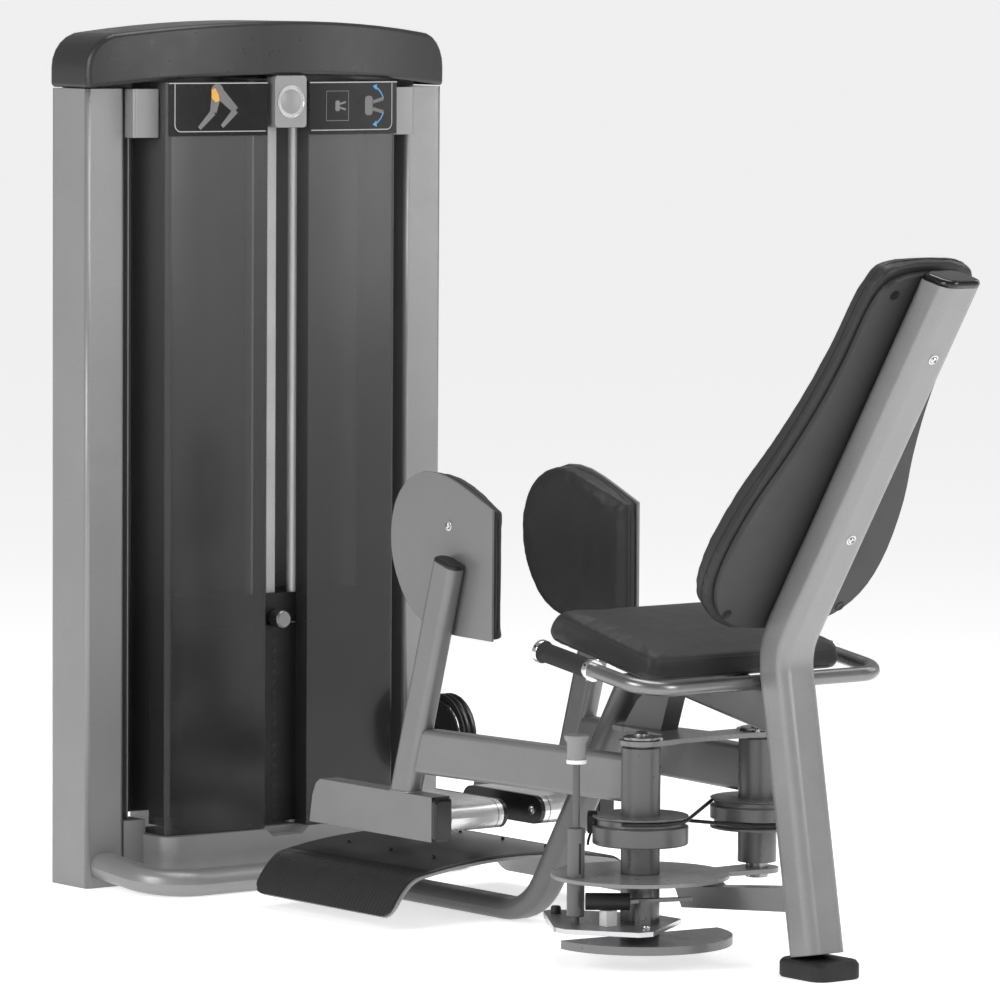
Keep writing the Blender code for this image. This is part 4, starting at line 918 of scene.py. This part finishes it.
def grip_collars():
    """A bright collar at each end of each grip, the front one closed, with set screws."""
    for side_name, side in SIDES:
        tip = handle_tip(side)
        built = bmesh.new()
        front = [(0, 0.0), (0.0130, 0.0), (0.0186, 0.0), (0.0190, 0.0010), (0.0190, 0.0095)]
        front += [(0.0182, 0.0105), (0.0120, 0.0112), (0, 0.0116)]
        lathe(built, front, tip + BAR_FORWARD * -0.0040, BAR_FORWARD, 32)
        rear = [(0.0128, 0.0), (0.0180, 0.0), (0.0192, 0.0012), (0.0192, 0.0100)]
        rear += [(0.0184, 0.0112), (0.0128, 0.0112)]
        lathe(built, rear, tip - BAR_FORWARD * (GRIP_LENGTH + 0.0045), BAR_FORWARD, 32)
        piece(f"{side_name}_grip_collars", built, FINISHES["chrome"], "base_frame")
        built = bmesh.new()
        for along in (0.0012, -GRIP_LENGTH + 0.0012):
            for turn in (-60, 60, 180):
                spin = Matrix.Rotation(radians(turn), 3, BAR_FORWARD)
                out = spin @ BAR_UP
                place = tip + BAR_FORWARD * along + out * 0.0188
                head = [(0.0022, 0), (0.0022, 0.0007), (0.0015, 0.0007), (0, 0.0002)]
                lathe(built, head, place, out, 12)
        piece(f"{side_name}_set_screws", built, FINISHES["black_bolt"], "base_frame")


def handle_tip(side):
    """Where the handlebar ends, on its centreline."""
    low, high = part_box(f"{'left' if side < 0 else 'right'}_grip")
    front_x = low.x + GRIP_RADIUS * sin(BAR_TILT)
    front_z = high.z - GRIP_RADIUS * cos(BAR_TILT)
    return Vector((front_x, side * BAR_HALF_WIDTH, front_z)) - BAR_FORWARD * 0.004


CLAMP_TURN = radians(228)
CLAMP_MIDDLE = 0.225
LEVER_STOP = Vector((0.214, -0.196, 0))


def linkage_details():
    """A cable clamp with its tail, and the lever's rubber stop and two bolts."""
    near = Vector((PIVOT.x, -PIVOT.y, 0))
    out = Vector((cos(CLAMP_TURN), sin(CLAMP_TURN), 0))
    across = Z_AXIS.cross(out)
    built = bmesh.new()
    clamp = [(-0.0095, 0.208), (0.0095, 0.208), (0.0095, 0.236), (0.004, 0.243), (-0.0095, 0.243)]
    rings = []
    for reach, grow in ((0.0700, 1.0), (0.0850, 1.0), (0.0865, 0.8)):
        rings.append([
            near + out * reach + across * a * grow + Z_AXIS * (CLAMP_MIDDLE + (z - CLAMP_MIDDLE) * grow)
            for a, z in clamp
        ])
    skin(built, rings)
    tail = ((0.080, 0.004, 0.210), (0.083, 0.010, 0.200), (0.084, 0.022, 0.194), (0.083, 0.034, 0.1935))
    tube(built, [near + out * reach + across * a + Z_AXIS * z for reach, a, z in tail], 0.0022)
    piece("left_cable_clamp", built, FINISHES["black_bolt"], "left_arm")

    built = bmesh.new()
    stop = [(0, 0.0685), (0.0085, 0.0685), (0.0085, 0.078), (0.0065, 0.081), (0, 0.081)]
    lathe(built, stop, LEVER_STOP, Z_AXIS)
    piece("lever_stop", built, FINISHES["rubber"], "drive_cam")
    built = bmesh.new()
    hex_bolt(built, (0.205, -0.199, 0.0600), -Z_AXIS, 0.0085, 0.011)
    hex_bolt(built, (0.440, -0.190, 0.0680), Z_AXIS, 0.0060, 0.006)
    piece("lever_bolts", built, FINISHES["bolt"], "drive_cam")


def weld_bead(name, path, body, radius):
    """A bead round a joint, a little uneven."""
    built = tube(bmesh.new(), path, radius, True)
    for vert in built.verts:
        vert.co += Vector((1, 1, 1)) * 0.0003 * noise.noise(vert.co * 260)
    piece(name, built, FINISHES["paint"], body)


def welds():
    for side_name, side in SIDES:
        foot_x = -0.222
        face_y = side * (PLATE_FACE + 0.0173)
        ring = []
        for a, b in rounded_rect(0.0625, 0.0340, 0.014, 5):
            ring.append(Vector((foot_x + a, face_y + b, 0.2236)))
        weld_bead(f"{side_name}_foot_weld", ring, f"{side_name}_arm", 0.0020)


def panel_x(y):
    return PANEL_FRONT - PANEL_SWEEP * (y / PANEL_OUTER) ** 2


def on_panel(y, z, proud):
    return Vector((panel_x(y) + proud, y, z))


def flat_shape(built, outline, proud, thickness=0.0004):
    """A thin printed shape that follows the panel's front."""
    front = [built.verts.new(on_panel(y, z, proud + thickness)) for y, z in outline]
    rear = [built.verts.new(on_panel(y, z, proud)) for y, z in outline]
    built.faces.new(front)
    built.faces.new(rear[::-1])
    for index in range(len(outline)):
        following = (index + 1) % len(outline)
        built.faces.new((rear[index], rear[following], front[following], front[index]))
    return built


def fine_path(path, longest=0.012):
    """The same path with no step longer than the longest."""
    finer = [path[0]]
    for start, end in zip(path, path[1:]):
        count = int((Vector(end) - Vector(start)).length / longest) + 1
        for step in range(1, count + 1):
            finer.append(tuple(a + (b - a) * step / count for a, b in zip(start, end)))
    return finer


def stroke(built, path, width, proud):
    """A printed line of even width along a path of (y, z)."""
    path = fine_path(path)
    left, right = [], []
    for index, place in enumerate(path):
        before = Vector(path[max(index - 1, 0)])
        after = Vector(path[min(index + 1, len(path) - 1)])
        run = (after - before).normalized()
        side = Vector((-run.y, run.x)) * width / 2
        left.append(tuple(Vector(place) + side))
        right.append(tuple(Vector(place) - side))
    for index in range(len(path) - 1):
        flat_shape(built, [left[index], left[index + 1], right[index + 1], right[index]], proud)
    return built


def arc(centre, radius, start, end, steps=14):
    return [
        (centre[0] + radius * cos(radians(start + (end - start) * step / steps)),
         centre[1] + radius * sin(radians(start + (end - start) * step / steps)))
        for step in range(steps + 1)
    ]


PLACARD = {"inner": 0.0455, "outer": 0.2405, "edge": 0.2465, "low": 1.3115, "high": 1.4000}
PICTOGRAM_Z = 1.358


def placard_board(side):
    """A black board across the top of one panel."""
    built = bmesh.new()
    count = 16
    span = PLACARD["edge"] - PLACARD["inner"]
    columns = [PLACARD["inner"] + span * step / count for step in range(count + 1)]
    rings = []
    for y in columns:
        ring = []
        for z, proud in ((PLACARD["low"] - 0.004, 0.0003), (PLACARD["low"] - 0.003, 0.0012),
                         (PLACARD["high"], 0.0012), (PLACARD["high"], 0.0003)):
            ring.append(on_panel(side * y, z, proud))
        rings.append(ring)
    return skin(built, rings)


def placards():
    """The two printed boards under the cap, with plain outlines and generic drawings."""
    ink = FINISHES["ink"]
    for side_name, side in SIDES:
        built = placard_board(side)
        piece(f"{side_name}_placard", built, FINISHES["placard"], "base_frame")
        inner, outer = PLACARD["inner"] + 0.004, PLACARD["outer"] - 0.006
        low = PLACARD["low"] + 0.004
        corner = 0.012
        line = [(side * inner, low)]
        line += [(side * y, z) for y, z in arc((outer - corner, low + corner), corner, -90, 0)]
        line += [(side * outer, PLACARD["high"] - 0.002)]
        built = stroke(bmesh.new(), line, 0.0016, 0.0013)
        piece(f"{side_name}_placard_outline", built, ink, "base_frame", False)
        span, top_z = PLACARD["edge"] - PLACARD["inner"], PLACARD["high"] - 0.0008
        top = [(side * (PLACARD["inner"] + span * step / 12), top_z) for step in range(13)]
        built = stroke(bmesh.new(), top, 0.0018, 0.0014)
        piece(f"{side_name}_placard_edge", built, ink, "base_frame", False)

    hip, knee, ankle = (-0.150, 1.386), (-0.112, 1.352), (-0.140, 1.324)
    other_knee, other_ankle = (-0.158, 1.349), (-0.186, 1.321)
    built = bmesh.new()
    for path in ([hip, knee, ankle], [hip, other_knee, other_ankle]):
        for (start, end), (wide, narrow) in zip(zip(path, path[1:]), ((0.021, 0.013), (0.012, 0.007))):
            run = (Vector(end) - Vector(start)).normalized()
            side = Vector((-run.y, run.x))
            outline = [Vector(start) + side * wide / 2, Vector(end) + side * narrow / 2]
            outline += [Vector(end) - side * narrow / 2, Vector(start) - side * wide / 2]
            flat_shape(built, [tuple(point) for point in outline], 0.0013)
    flat_shape(built, arc(hip, 0.0125, 0, 340, 16), 0.0014)
    piece("leg_pictogram", built, FINISHES["figure"], "base_frame", False)
    built = bmesh.new()
    patch = [(-0.1615, 1.388), (-0.1545, 1.391), (-0.1475, 1.379)]
    patch += [(-0.1460, 1.369), (-0.1535, 1.366), (-0.1620, 1.374)]
    flat_shape(built, patch, 0.0019)
    piece("thigh_patch", built, FINISHES["amber"], "base_frame", False)

    built = bmesh.new()
    square = [(0.083, 1.332), (0.083, 1.384), (0.133, 1.384), (0.133, 1.332), (0.083, 1.332)]
    for start, end in zip(square, square[1:]):
        stroke(built, [start, end], 0.0010, 0.0013)
    for centre_y, scale in ((0.108, 0.55), (0.180, 1.0)):
        outline = rounded_rect(0.018 * scale, 0.034 * scale, 0.006 * scale, 4)
        flat_shape(built, [(centre_y + a, PICTOGRAM_Z + b) for a, b in outline], 0.0013)
        for lean in (-1, 1):
            start = (centre_y + 0.010 * scale, PICTOGRAM_Z + lean * 0.006 * scale)
            end = (centre_y + 0.034 * scale, PICTOGRAM_Z + lean * 0.012 * scale)
            stroke(built, [start, end], 0.006 * scale, 0.0013)
    piece("seat_pictogram", built, FINISHES["figure"], "base_frame", False)
    built = bmesh.new()
    for lean in (-1, 1):
        stroke(built, arc((0.180, PICTOGRAM_Z), 0.036, lean * 20, lean * 62, 8), 0.0026, 0.0015)
        tip_y, tip_z = arc((0.180, PICTOGRAM_Z), 0.036, lean * 66, lean * 66, 1)[0]
        head = [(tip_y - 0.006, tip_z + lean * 0.001), (tip_y + 0.004, tip_z + lean * 0.005)]
        head += [(tip_y + 0.003, tip_z - lean * 0.006)]
        flat_shape(built, head, 0.0015)
    piece("swing_arrows", built, FINISHES["blue"], "base_frame", False)


def badge():
    """A plain round emblem on the badge block."""
    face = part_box("badge_block")[1].x
    centre = Vector((face, 0, 1.3665))
    built = bmesh.new()
    ring = [(0.0290, -0.001), (0.0290, 0.0009), (0.0274, 0.0009), (0.0270, 0.0002), (0, 0.0002)]
    lathe(built, ring, centre, X_AXIS, 48)
    piece("badge_ring", built, FINISHES["bolt"], "base_frame")
    built = bmesh.new()
    disc = [(0.0215, -0.001), (0.0215, 0.0005), (0.0205, 0.0009), (0.0, 0.0009)]
    lathe(built, disc, centre, X_AXIS, 40)
    piece("badge_centre", built, FINISHES["paint"], "base_frame")


FINISHES["placard"] = surface(
    "gloss_black_board", grey(0.010), 0.26, 0.0, 0.05, 0.03, 500, 0.04,
    [("noise", 300, EVEN, 0.00002)], sockets=[("Specular IOR Level", 0.20)],
)
FINISHES["ink"] = surface("light_print", grey(0.42), 0.5, 0.0, 0.05, 0.08, 900, 0.04)
FINISHES["figure"] = surface("grey_print", grey(0.16), 0.5, 0.0, 0.25, 0.10, 900, 0.04)
FINISHES["amber"] = surface("amber_print", (0.75, 0.38, 0.06), 0.5, 0.0, 0.12, 0.08, 900, 0.04)
FINISHES["blue"] = surface("blue_print", (0.09, 0.30, 0.55), 0.5, 0.0, 0.10, 0.08, 900, 0.04)


def stack_details():
    """Dark discs down the plates, painted shade for the selector holes, and the belt, built as a strap
    in place of the CAD belt.
    """
    built = bmesh.new()
    # Each selector hole is a thin black disc: painted shade for the hole's recess.
    for index in range(PLATE_COUNT):
        z = STACK_BASE + (index + 0.44) * PLATE_PITCH
        profile = [(0.0052, 0), (0.0052, 0.0003), (0.0046, 0.0004), (0, 0.0002)]
        lathe(built, profile, Vector((STACK_FRONT, 0, z)), X_AXIS, 20)
    piece("selector_hole_shade_discs", built, FINISHES["black_bolt"], "base_frame")

    low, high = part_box("lift_belt")
    middle = (low + high) / 2
    rows = 60
    rings = []
    for step in range(rows + 1):
        z = low.z + (high.z - low.z) * step / rows
        section = rounded_rect(high.x - low.x, high.y - low.y, 0.001, 3)
        rings.append([Vector((middle.x + a, middle.y + b, z)) for a, b in section])
    belt = piece("belt_strap", skin(bmesh.new(), rings), FINISHES["belt"], "base_frame")
    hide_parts("lift_belt")
    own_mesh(belt)


# ---- surroundings ---------------------------------------------------------------------------
CAMERA_PLACE = Vector((8.6666, -6.8745, 1.61))
CAMERA_HEADING = radians(52.193)
CAMERA_DIP = radians(4.601)
CAMERA_ROLL = radians(0.353)
CAMERA_LENS = 240.1
FLOOR_REACH = 500
FLOOR_GLOW = 0.60
SKY_STRENGTH = 0.50


def camera():
    data = bpy.data.cameras.new("camera")
    data.lens = CAMERA_LENS
    data.sensor_width = 36
    data.clip_end = 1500
    made = bpy.data.objects.new("camera", data)
    bpy.context.collection.objects.link(made)
    aim = Matrix.Rotation(CAMERA_HEADING, 4, "Z") @ Matrix.Rotation(pi / 2 - CAMERA_DIP, 4, "X")
    made.matrix_world = Matrix.Translation(CAMERA_PLACE) @ aim @ Matrix.Rotation(CAMERA_ROLL, 4, "Z")
    bpy.context.scene.camera = made


def lamp(name, place, target, size, power):
    data = bpy.data.lights.new(name, "AREA")
    data.shape = "RECTANGLE"
    data.size, data.size_y = size
    data.energy = power
    made = bpy.data.objects.new(name, data)
    bpy.context.collection.objects.link(made)
    made.location = place
    made.rotation_euler = (Vector(target) - Vector(place)).to_track_quat("-Z", "Y").to_euler()


def surroundings():
    floor = bmesh.new()
    bmesh.ops.create_grid(floor, x_segments=8, y_segments=8, size=FLOOR_REACH)
    mesh = bpy.data.meshes.new("floor")
    floor.to_mesh(mesh)
    floor.free()
    made = bpy.data.objects.new("floor", mesh)
    bpy.context.collection.objects.link(made)
    mesh.materials.append(surface(
        "pale_floor", (0.90, 0.90, 0.90), 0.80, 0.0, 0.005, 0.005, 20, 0.03,
        sockets=[
            ("Specular IOR Level", 0.1), ("Emission Color", (1, 1, 1, 1)),
            ("Emission Strength", FLOOR_GLOW),
        ],
    ))

    world = bpy.data.worlds.new("studio")
    bpy.context.scene.world = world
    world.use_nodes = True
    tree = world.node_tree
    sky = tree.nodes["Background"]
    rise = shade(tree, "ShaderNodeSeparateXYZ")
    feed(tree, shade(tree, "ShaderNodeTexCoord").outputs["Generated"], rise.inputs[0])
    ramp = shade(tree, "ShaderNodeValToRGB")
    feed(tree, rise.outputs["Z"], ramp.inputs[0])
    ramp.color_ramp.elements[0].position = 0.0
    ramp.color_ramp.elements[0].color = (0.92, 0.92, 0.92, 1)
    ramp.color_ramp.elements[1].position = 0.55
    ramp.color_ramp.elements[1].color = (0.55, 0.55, 0.56, 1)
    feed(tree, ramp.outputs[0], sky.inputs["Color"])
    sky.inputs["Strength"].default_value = SKY_STRENGTH

    lamp("key", (0.2, -4.8, 2.6), (-0.3, 0, 0.8), (2.6, 2.2), 118)
    lamp("rear", (3.4, 0.7, 1.9), (0.85, 0.0, 0.8), (1.2, 1.6), 38)
    lamp("side", (0.5, 1.7, 1.7), (-0.87, 0.35, 0.8), (0.8, 1.8), 10)
    lamp("top", (-0.2, 0.3, 4.5), (-0.2, 0.0, 0.0), (3.0, 2.0), 80)
    bpy.context.scene.view_settings.view_transform = "Standard"


finish_cad_parts()
pads()
step_mat()
bolts()
grip_collars()
linkage_details()
welds()
placards()
badge()
stack_details()
surroundings()
camera()
